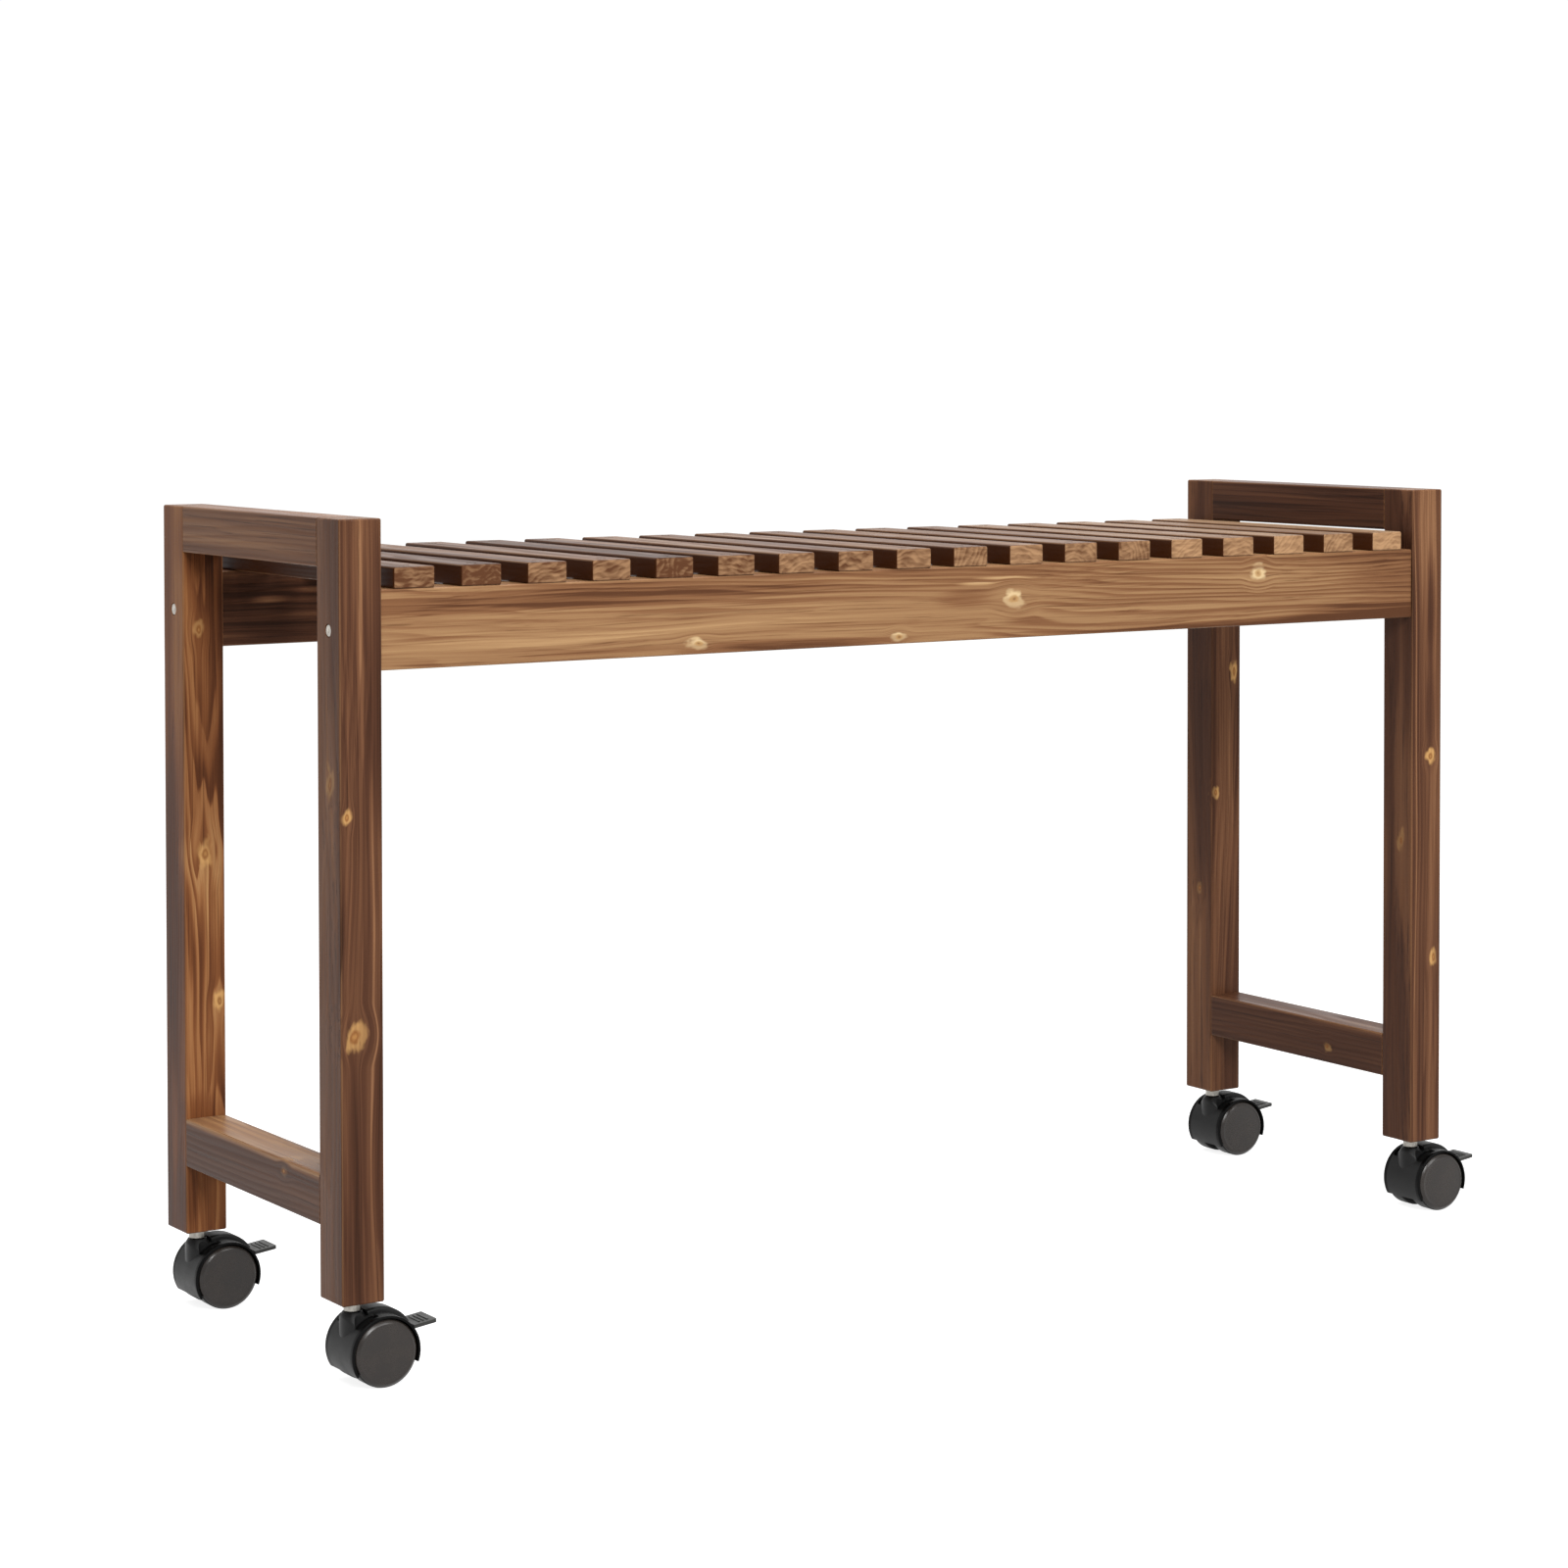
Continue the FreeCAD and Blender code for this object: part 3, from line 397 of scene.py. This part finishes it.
timbers = {
    "top_end_rail_left": ("y", variant(
        darkFir, cut=(200, 14, 22), tone=0.53, wander=3.0, calm=(1, 1.6))),
    # The right end rails show mostly their inner faces, which lie in shade; their low tone is painted shade.
    "top_end_rail_right": ("y", variant(
        darkFir, cut=(1200, -14, 12), tone=0.26, wander=3.0, calm=(1, 1.6))),
    "low_end_rail_left": ("y", variant(
        darkFir, cut=(2200, 4, -12), tone=0.30, swing=(0.3, 0.25, 0.25), rings=0.06, wander=3.0,
        calm=(1, 1.6),
        knots=[{"at": (-521.4, -56, 137), "size": 4, "pale": 0.3, "deep": 8}],
        # Painted sheen: this patch lightens the top face, standing in for the white reflected there at a low
        # angle.
        tones=[((-505, 0, 146), (60, 900, 4), 0.45)])),
    # Painted shade: the low tone darkens this rail's inner face, which lies in shade.
    "low_end_rail_right": ("y", variant(
        darkFir, cut=(3200, 24, 2), tone=0.22, swing=(0.4, 0.35, 0.25), wander=3.0, calm=(1, 1.6),
        knots=[{"at": (446.7, -43, 124), "size": 4, "pale": 0.4, "deep": 8}],
        # Painted sheen: this patch lightens the top face, standing in for the white reflected there at a low
        # angle.
        tones=[((462, 0, 146), (60, 900, 4), 0.30)])),
    "long_rail_front": ("x", variant(
        goldenFir, cut=(0, 0, 0), pith=(55, -90), lean=(0.01, 0.035), wander=5.0,
        knots=[
            {"at": (45, -148, 525), "size": 6.0, "long": 1.5, "deep": 20},
            {"at": (284.6, -148, 537), "size": 6.0, "long": 1.1, "deep": 16},
            {"at": (-236, -148, 503), "size": 3.6, "long": 2.2, "deep": 12},
            {"at": (-61, -148, 500), "size": 3.6, "long": 1.6, "deep": 12},
        ],
        tones=[
            ((-330, -148, 538), (240, 14, 9), -0.20),
            ((-300, -148, 514), (260, 14, 5), 0.16),
            ((-150, -148, 499), (110, 14, 6), -0.30),
            ((12, -148, 537), (24, 12, 1.8), 0.45),
            ((38, -148, 541), (34, 12, 1.8), 0.45),
            ((0, -148, 526), (34, 12, 8), -0.16),
            ((120, -148, 512), (300, 14, 7), 0.08),
            ((250, -148, 498), (260, 14, 4.5), -0.30),
            ((310, -148, 534), (130, 14, 14), 0.10),
            ((430, -148, 500), (130, 14, 12), -0.34),
            ((450, -148, 535), (110, 14, 30), -0.16),
        ])),
    "long_rail_back": ("x", variant(
        darkFir, cut=(5000, 8, 12), pith=(-55, -80), lean=(-0.01, 0.03), ring=6.0, wander=6.0,
        tone=0.45,
        knots=[
            {"at": (-300, 148, 530), "size": 6, "long": 1.4, "deep": 14},
            {"at": (130, 148, 512), "size": 7, "long": 1.3, "deep": 16},
        ],
        tones=[
            # Painted shade: darkens the rail's inner face under the shelf at the left end.
            ((-440, 116, 525), (150, 12, 60), -0.22),
            ((-450, 116, 528), (20, 8, 4), 0.34),
            ((-410, 116, 534), (26, 8, 4), 0.34),
        ])),
}
for corner, look in postLooks.items():
    timbers["post_" + corner] = ("z", look)

for nodeName, (grain, look) in timbers.items():
    title = "Carbonized fir, " + nodeName.replace("_", " ")
    dress(nodes[nodeName], timberMaterial(title, nodeName, grain, look))

slatNames = sorted(name for name in nodes if name.startswith("slat_") and name[5:].isdigit())
slatMiddles = [middle(name)[0] for name in slatNames]
# The slats' side colour is painted shade for their long sides deep in the gaps.
slatLook = variant(
    darkFir, pitch=(slatMiddles[1].x - slatMiddles[0].x) / mm, width=2 * middle("slat_01")[1].x / mm,
    shades=("#2C1A12", "#4C3326", "#6F5240", "#8D6F56", "#A6886A"), end="#5A3823", endPale="#B68E68",
    side="#41220F", luck=0.17, drift=0.30, count=len(slatNames), wander=5.0, roughness=(0.36, 0.46),
    relief=0.12, tone=0.5, ring=4.2, pith=(4, -26))
slatMaterial = timberMaterial("Carbonized fir, slats", "slat_01", "y", slatLook)
for name in slatNames:
    dress(nodes[name], slatMaterial)
print("timbers dressed:", len(timbers) + len(slatNames))


# Metal and plastic.
zincLook = {                    # sizes in mm
    "cloud": (2.4, 2.4, 2.4), "scratch": (3.0, 3.0, 0.15), "swing": 0.07, "relief": 0.03, "bump": 0.2,
}


def zincMaterial(name, dark, pale, roughness):
    # Steel with bright zinc plating: a grey shine with faint cloudy spangle and turning marks.
    material, tree = newMaterial(name)
    scaled = inMillimetres(tree)
    cloud = noise(tree, scaled, zincLook["cloud"], 3.0, 0.6).outputs[0]
    scratch = noise(tree, scaled, zincLook["scratch"], 2.0, 0.7, 4.0).outputs[0]
    colour = blend(tree, ramp(tree, cloud, 0.0, 1.0, 0.3, 0.7), linear(dark), linear(pale))
    rough = ramp(tree, cloud, roughness - zincLook["swing"], roughness + zincLook["swing"])
    rough = calc(tree, "ADD", rough, ramp(tree, scratch, -0.04, 0.06))
    settings = {"Strength": zincLook["bump"], "Distance": zincLook["relief"] * mm}
    bump = add(tree, "Bump", settings, {"Height": scratch}).outputs[0]
    links = {"Base Color": colour, "Roughness": rough, "Normal": bump}
    finishMaterial(tree, {"Metallic": 1.0}, links)
    return material


nylon = {                       # sizes in mm, and what all the mouldings share
    "cloud": (14, 14, 14), "swing": 0.05, "relief": 0.05, "bump": 0.35, "ior": 1.53,
}


def nylonMaterial(name, look):
    # Glass-filled nylon from an eroded mould: nearly black, with an even grit that breaks up the shine.
    material, tree = newMaterial(name)
    scaled = inMillimetres(tree)
    grit = noise(tree, scaled, [look["grit"]] * 3, 2.0, 0.6).outputs[0]
    cloud = noise(tree, scaled, nylon["cloud"], 3.0, 0.5, 6.0).outputs[0]
    patch = ramp(tree, cloud, 0.0, 1.0, 0.3, 0.7)
    colour = blend(tree, patch, linear(look["dark"]), linear(look["pale"]))
    speck = ramp(tree, grit, 0.35, 0.0, 0.3, 0.5)
    colour = blend(tree, speck, colour, linear(look["speck"]))
    low, high = look["roughness"] - nylon["swing"], look["roughness"] + nylon["swing"]
    rough = ramp(tree, cloud, low, high, 0.3, 0.7)
    rough = calc(tree, "ADD", rough, ramp(tree, grit, -nylon["swing"], nylon["swing"], 0.3, 0.7))
    settings = {"Strength": nylon["bump"], "Distance": nylon["relief"] * mm}
    bump = add(tree, "Bump", settings, {"Height": grit}).outputs[0]
    finishMaterial(tree, {"IOR": nylon["ior"], "Specular IOR Level": look["gloss"]},
                   {"Base Color": colour, "Roughness": rough, "Normal": bump})
    return material


def beechMaterial():
    # Beech dowels, seen only inside the joints: pale and even with short brown flecks.
    material, tree = newMaterial("Beech dowel")
    scaled = inMillimetres(tree)
    fleck = noise(tree, scaled, (3.0, 3.0, 0.6), 2.0, 0.6).outputs[0]
    colour = blend(tree, ramp(tree, fleck, 0.0, 1.0, 0.4, 0.7), linear("#D9B78C"), linear("#B98E5F"))
    links = {"Base Color": colour, "Roughness": ramp(tree, fleck, 0.5, 0.65)}
    finishMaterial(tree, {"IOR": 1.5}, links)
    return material


def moulding(dark, pale, speck, roughness, grit, gloss):
    return {"dark": dark, "pale": pale, "speck": speck, "roughness": roughness, "grit": grit, "gloss": gloss}


mouldings = {                   # three colours, roughness, grit in mm, gloss
    "hood": moulding("#191919", "#202020", "#131313", 0.42, 0.5, 0.14),
    "hood lip": moulding("#070707", "#0B0B0B", "#040404", 0.3, 0.5, 0.06),
    "wheel cap": moulding("#211B17", "#29221D", "#15110F", 0.26, 0.45, 0.34),
    "wheel tread": moulding("#0C0C0C", "#131312", "#070707", 0.45, 0.6, 0.15),
    "brake pedal": moulding("#262624", "#323230", "#131313", 0.36, 0.5, 0.3),
}

zinc = zincMaterial("Zinc plated steel", "#7C7973", "#9B9891", 0.32)
brightZinc = zincMaterial("Bright zinc plated steel", "#ABA69E", "#BFBAB2", 0.4)
nylons = {part: nylonMaterial("Moulded nylon, " + part, look) for part, look in mouldings.items()}
beech = beechMaterial()
metalEndings = ("_bolts", "_nuts", "_inserts", "_screws", "_stem", "_pins")
endingMaterials = {"_body": nylons["hood"], "_lever": nylons["brake pedal"],
                   "_wheel": nylons["wheel tread"], "_dowels": beech}
endingMaterials.update({ending: zinc for ending in metalEndings})
for name, node in nodes.items():
    for ending, material in endingMaterials.items():
        if name.endswith(ending):
            dress(node, material)
print("metal and plastic dressed")


# Pieces with finer shape than the frame has.
def finishPiece(bm, name, material, body, sharpAngle=40):
    bmesh.ops.recalc_face_normals(bm, faces=bm.faces)
    for face in bm.faces:
        face.smooth = True
    for edge in bm.edges:
        edge.smooth = edge.calc_face_angle(0) < math.radians(sharpAngle)
    mesh = bpy.data.meshes.new(name)
    bm.to_mesh(mesh)
    bm.free()
    piece = bpy.data.objects.new(name, mesh)
    bpy.context.scene.collection.objects.link(piece)
    mesh.materials.append(material)
    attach(piece, body)
    return piece


def spinOutline(bm, outline, centre, side, steps, start=0, angle=math.tau):
    # Turns an outline of (radius, distance along the axle) points, in mm, about an axle along Y.
    outward = Vector((math.cos(start), 0, math.sin(start)))
    points = []
    for radius, out in outline:
        points.append(bm.verts.new(centre + (outward * radius + Vector((0, side * out, 0))) * mm))
    edges = [bm.edges.new(pair) for pair in zip(points, points[1:])]
    bmesh.ops.spin(bm, geom=points + edges, cent=centre, axis=(0, -1, 0), dvec=(0, 0, 0),
                   angle=angle, steps=steps, use_merge=angle == math.tau)
    bmesh.ops.remove_doubles(bm, verts=bm.verts, dist=0.001 * mm)


def bend(start, control, end, steps):
    # Points of a smooth bend from start to end, pulled towards the control point.
    points = []
    for step in range(steps + 1):
        share = step / steps
        points.append(tuple(start.lerp(control, share).lerp(control.lerp(end, share), share)))
    return points


def roundedCorner(fromPoint, corner, toPoint, radius, steps=5):
    # Points of the bend that replaces one corner of an outline.
    corner = Vector(corner)
    start = corner + (Vector(fromPoint) - corner).normalized() * radius
    end = corner + (Vector(toPoint) - corner).normalized() * radius
    return bend(start, corner, end, steps)


wheel = {                       # mm; out is from the middle of the caster along the axle
    "bore": 3.05, "hub": 6.0, "rimInner": 19.5, "rimDeep": 9.0,
    "notches": 12, "notchPlace": 19.41, "notchRadius": 1.9,
    "notchTurn": 2.75,          # degrees from level to the first notch
    "treadRounds": (0, 0.4, 0.8, 0.8, 0.4, 1.6, 1.6, 0.3, 0.3, 0, 0),
    "seatRadius": 21.6, "seatDepth": 2.4, "seatGap": 0.05, "seatPlay": 0.1,
    "capRadius": 23.2, "capRim": 2.6, "capRimHeight": 2.0, "capDome": 0.45,
    "capEdge": 0.3,             # straight part of the cap's edge
    "capShoulder": (-0.12, 0.25), "capCrown": (0.13, 0.22), "capSteps": 10,
    "groove": 0.12,             # fine step between the rim and the face of a cap
    "grooveFrom": 0.3, "grooveTo": 0.5,
    "inside": 0.02,             # how far the shape stays within the frame's wheel
    "lipInner": 24.42, "lipOuter": 26.14, "lipFrom": 17.9, "lipTo": 21.74,
    "lipRounds": (0, 0.1, 0.7, 0.1, 0),
    "lipAngles": (-20, 212),    # degrees round the axle, from the pedal side over the top
    "steps": 120,
}


def outlineWithRounds(corners2d, rounds):
    made = []
    for number, (corner, radius) in enumerate(zip(corners2d, rounds)):
        if radius:
            made.extend(roundedCorner(corners2d[number - 1], corner, corners2d[number + 1], radius))
        else:
            made.append(corner)
    return made


def cutNotches(bm, centre, disc):
    # The brake pin drops into notches inside the rim. Points of the rim's inner wall move out to the
    # walls of the notches.
    spacing = 360 / wheel["notches"]
    for vert in bm.verts:
        away = (vert.co - centre) / mm
        radius = math.hypot(away.x, away.z)
        if not -0.01 < radius - wheel["rimInner"] < 0.5 or abs(away.y) > disc:
            continue
        turn = math.degrees(math.atan2(away.z, away.x)) - wheel["notchTurn"]
        turn = math.radians((turn + spacing / 2) % spacing - spacing / 2)
        aside = wheel["notchPlace"] * math.sin(turn)
        if abs(aside) < wheel["notchRadius"]:
            wall = math.sqrt(wheel["notchRadius"] ** 2 - aside ** 2)
            wall = wheel["notchPlace"] * math.cos(turn) + wall
            grown = max(radius, wall) / radius
            vert.co = centre + Vector((away.x * grown, away.y, away.z * grown)) * mm


def makeWheel(corner, place):
    node = corner + "_" + place + "_wheel"
    low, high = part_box(node)
    caster = middle(corner + "_caster_stem")[0]
    centre = Vector(((low.x + high.x) / 2, caster.y, (low.z + high.z) / 2))
    side = 1 if (low.y + high.y) / 2 > caster.y else -1
    nearest, furthest = sorted(abs(edge - caster.y) / mm for edge in (low.y, high.y))
    treadRadius = (high.x - low.x) / 2 / mm - wheel["inside"] / 2
    rimTop = furthest - wheel["inside"] - wheel["capDome"]
    treadOuter = rimTop - wheel["capRimHeight"] - wheel["capEdge"]
    seat = treadOuter - wheel["seatDepth"]
    disc = nearest + wheel["rimDeep"]
    bore, hub, rimInner, seatRadius = (wheel[key] for key in ("bore", "hub", "rimInner", "seatRadius"))
    outline = [(bore, nearest), (hub, nearest), (hub, disc), (rimInner, disc), (rimInner, nearest),
               (treadRadius, nearest), (treadRadius, treadOuter), (seatRadius, treadOuter),
               (seatRadius, seat), (bore, seat), (bore, nearest)]
    outline = outlineWithRounds(outline, wheel["treadRounds"])
    bm = bmesh.new()
    spinOutline(bm, outline, centre, side, wheel["steps"], math.radians(wheel["notchTurn"]))
    cutNotches(bm, centre, disc)
    tread = finishPiece(bm, node + "_tread", nylons["wheel tread"], node)
    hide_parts(node)

    # The cap's rim is a broad, slightly rounded slope.
    faceRadius = wheel["capRadius"] - wheel["capRim"]
    floor = seat + wheel["seatGap"]
    plug = seatRadius - wheel["seatPlay"]
    edge = Vector((wheel["capRadius"], treadOuter + wheel["capEdge"]))
    outline = [(0, floor), (plug, floor), (plug, treadOuter), (wheel["capRadius"], treadOuter), tuple(edge)]
    shoulder = edge + Vector(wheel["capShoulder"])
    inner = Vector((faceRadius, rimTop))
    crown = inner.lerp(shoulder, 0.5) + Vector(wheel["capCrown"])
    outline.extend(bend(shoulder, crown, inner, wheel["capSteps"]))
    outline.append((faceRadius - wheel["grooveFrom"], rimTop - wheel["groove"]))
    for step in range(1, wheel["capSteps"] + 1):
        radius = (faceRadius - wheel["grooveTo"]) * (1 - step / wheel["capSteps"])
        rise = wheel["capDome"] * (1 - (radius / faceRadius) ** 2)
        outline.append((radius, rimTop - wheel["groove"] * (radius / faceRadius) ** 4 + rise))
    bm = bmesh.new()
    spinOutline(bm, outline, centre, side, wheel["steps"])
    finishPiece(bm, node + "_cap", nylons["wheel cap"], node, 50)

    # A near-black ring laid along the rim of the hood beside this wheel.
    under, over, start, end = (wheel["lip" + key] for key in ("Inner", "Outer", "From", "To"))
    outline = [(under, start), (under, end), (over, end), (over, start), (under, start)]
    outline = outlineWithRounds(outline, wheel["lipRounds"])
    first, last = (math.radians(angle) for angle in wheel["lipAngles"])
    bm = bmesh.new()
    spinOutline(bm, outline, centre, side, wheel["steps"], first, last - first)
    bmesh.ops.holes_fill(bm, edges=[edge for edge in bm.edges if edge.is_boundary], sides=0)
    lipName = corner + "_hood_lip_" + place
    finishPiece(bm, lipName, nylons["hood lip"], corner + "_swivel")


for corner in corners:
    for place in ("outer", "inner"):
        makeWheel(corner, place)
print("wheels made:", 2 * len(corners))

screw = {                       # mm, countersunk, with a cross recess
    "headRadius": 3.5, "headHeight": 2.4, "shankRadius": 1.75, "length": 30.0, "tip": 4.0,
    "armWidth": 1.0, "armReach": 2.1, "recessDepth": 1.3, "recessTaper": 0.6,
    "edgeRound": 0.15, "steps": 28,
}


def onlyKind(items, kind):
    return [item for item in items if isinstance(item, kind)]


def spreadCopies(bm, places):
    # Puts a copy of what is in the mesh at each place.
    geometry = bm.verts[:] + bm.edges[:] + bm.faces[:]
    for place in places[1:]:
        made = bmesh.ops.duplicate(bm, geom=geometry)["geom"]
        bmesh.ops.transform(bm, matrix=place, verts=onlyKind(made, bmesh.types.BMVert))
    bmesh.ops.transform(bm, matrix=places[0], verts=onlyKind(geometry, bmesh.types.BMVert))


def makeScrews():
    # Spun about the Y axis, with a cross recess sunk in the flat head, then stood up and copied.
    bm = bmesh.new()
    head, shank, edgeRound, length = (
        screw[key] for key in ("headRadius", "shankRadius", "edgeRound", "length"))
    outline = [(head - edgeRound, 0), (head, -edgeRound), (shank, -screw["headHeight"]),
               (shank, screw["tip"] - length), (0, -length)]
    spinOutline(bm, outline, Vector(), 1, screw["steps"])
    rim = [edge for edge in bm.edges if edge.is_boundary]
    half, reach = screw["armWidth"] / 2, screw["armReach"]
    mouth = []
    for quarter in range(4):
        turn = Matrix.Rotation(math.radians(-90 * quarter), 3, "Y")
        for x, z in ((reach, -half), (reach, half), (half, half)):
            mouth.append(bm.verts.new(turn @ Vector((x, 0, z)) * mm))
    edges = [bm.edges.new((mouth[number - 1], mouth[number])) for number in range(len(mouth))]
    sunk = bmesh.ops.extrude_edge_only(bm, edges=edges)["geom"]
    floor = onlyKind(sunk, bmesh.types.BMVert)
    bmesh.ops.scale(bm, vec=(screw["recessTaper"], 1, screw["recessTaper"]), verts=floor)
    bmesh.ops.translate(bm, vec=(0, -screw["recessDepth"] * mm, 0), verts=floor)
    bmesh.ops.holes_fill(bm, edges=onlyKind(sunk, bmesh.types.BMEdge), sides=0)
    bmesh.ops.triangle_fill(bm, use_beauty=True, use_dissolve=False, edges=rim + edges)

    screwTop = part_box("slat_screws")[1].z
    upright = Matrix.Rotation(math.radians(90), 4, "X")
    places = []
    for slat in slatMiddles:
        for rail in ("long_rail_front", "long_rail_back"):
            places.append(Matrix.Translation((slat.x, middle(rail)[0].y, screwTop)) @ upright)
    spreadCopies(bm, places)
    piece = finishPiece(bm, "slat_screws_cross_head", zinc, "frame", 30)
    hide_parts("slat_screws")


makeScrews()

bolt = {                        # mm, socket head bolts that hold the long rails
    "headRadius": 4.25, "headHeight": 5.0, "shankRadius": 2.5, "length": 80.0, "tip": 1.0,
    "socketRadius": 1.7, "socketDepth": 0.8, "socketTaper": 0.3, "dish": 0.1,
    "rounds": (0, 0.15, 0.5, 0.7, 0.2, 0.3, 0, 0, 0), "steps": 48,
}


def makeBolts():
    # Spun about the Y axis, then turned on to the long rails and copied.
    bm = bmesh.new()
    head, shank, socket, tip = (
        bolt[key] for key in ("headRadius", "shankRadius", "socketRadius", "tip"))
    depth, height, length = (bolt[key] for key in ("socketDepth", "headHeight", "length"))
    outline = [(0, -depth), (socket - bolt["socketTaper"], -depth), (socket, -bolt["dish"]),
               (head, 0), (head, -height), (shank, -height), (shank, tip - length),
               (shank - tip, -length), (0, -length)]
    spinOutline(bm, outlineWithRounds(outline, bolt["rounds"]), Vector(), 1, bolt["steps"])
    low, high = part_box("joint_bolts")
    places = []
    for x, degrees in ((low.x, 90), (high.x, -90)):
        turn = Matrix.Rotation(math.radians(degrees), 4, "Z")
        for rail in ("long_rail_front", "long_rail_back"):
            centre = middle(rail)[0]
            places.append(Matrix.Translation((x, centre.y, centre.z)) @ turn)
    spreadCopies(bm, places)
    piece = finishPiece(bm, "joint_bolts_socket_head", brightZinc, "frame", 50)
    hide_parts("joint_bolts")


makeBolts()
print("screws and bolts made:", 2 * len(slatMiddles) + len(corners))


# Floor, light and camera.
studio = {
    "white": 1.04,              # what the camera gets from the world
    "ambient": 0.40,            # white all round, as the object gets it
    "floorColour": "#C8C8C8",
    "floorLift": 0.85,          # what the camera gets on top, so that the floor reads as white
    "floorSize": 6.0,           # metres
    "aim": (0, 0, 0.35),
    "lamps": {                  # place in metres, size, watts
        "key": ((0.8, -3.0, 2.2), 1.5, 38),
        "crescent": ((-1.1, -2.6, 2.0), 1.2, 58),
        "top": ((0.2, 0.4, 2.6), 1.8, 40),
    },
}


def seenDirectly(tree):
    # 1 for the camera and for what shines or lets light through, 0 for light that falls on the object.
    path = add(tree, "LightPath").outputs
    gloss = calc(tree, "MAXIMUM", path["Is Glossy Ray"], path["Is Transmission Ray"])
    return calc(tree, "MAXIMUM", path["Is Camera Ray"], gloss)


def makeWorld():
    world = bpy.data.worlds.new("Studio white")
    bpy.context.scene.world = world
    world.use_nodes = True
    tree = world.node_tree
    tree.nodes.clear()
    extra = calc(tree, "MULTIPLY", seenDirectly(tree), studio["white"] - studio["ambient"])
    strength = calc(tree, "ADD", extra, studio["ambient"])
    background = add(tree, "Background", {"Color": (1, 1, 1, 1)}, {"Strength": strength})
    add(tree, "OutputWorld", links={"Surface": background.outputs[0]})


def makeFloor():
    bm = bmesh.new()
    bmesh.ops.create_grid(bm, x_segments=1, y_segments=1, size=studio["floorSize"])
    mesh = bpy.data.meshes.new("studioFloor")
    bm.to_mesh(mesh)
    bm.free()
    floor = bpy.data.objects.new("studioFloor", mesh)
    bpy.context.scene.collection.objects.link(floor)
    material, tree = newMaterial("Painted studio floor")
    matt = add(tree, "BsdfDiffuse", {"Color": linear(studio["floorColour"])})
    lift = calc(tree, "MULTIPLY", seenDirectly(tree), studio["floorLift"])
    glow = add(tree, "Emission", {"Color": (1, 1, 1, 1)}, {"Strength": lift})
    both = add(tree, "AddShader", links={0: matt.outputs[0], 1: glow.outputs[0]})
    add(tree, "OutputMaterial", links={"Surface": both.outputs[0]})
    mesh.materials.append(material)


def makeLamps():
    aim = Vector(studio["aim"])
    for name, (place, size, watts) in studio["lamps"].items():
        lamp = bpy.data.lights.new(name, "AREA")
        lamp.shape = "DISK"
        lamp.size = size
        lamp.energy = watts
        holder = bpy.data.objects.new(name, lamp)
        holder.location = place
        holder.rotation_euler = (aim - Vector(place)).to_track_quat("-Z", "Y").to_euler()
        bpy.context.scene.collection.objects.link(holder)


cameraView = {
    "place": (-1.65753, -2.52742, 0.71543),
    "turn": 34.31,              # degrees to the right of straight back
    "tilt": 1.776,              # degrees down
    "lens": 87.973, "sensor": 36,
    "shift": (-0.0926, -0.2013),
}


def makeCamera():
    lens = bpy.data.cameras.new("photoView")
    lens.lens = cameraView["lens"]
    lens.sensor_width = cameraView["sensor"]
    lens.shift_x, lens.shift_y = cameraView["shift"]
    camera = bpy.data.objects.new("photoView", lens)
    camera.location = cameraView["place"]
    tilt, turn = math.radians(90 - cameraView["tilt"]), -math.radians(cameraView["turn"])
    camera.rotation_euler = (tilt, 0, turn)
    bpy.context.scene.collection.objects.link(camera)
    bpy.context.scene.camera = camera


makeWorld()
makeFloor()
makeLamps()
makeCamera()
bpy.context.scene.view_settings.view_transform = "Standard"
print("studio set")
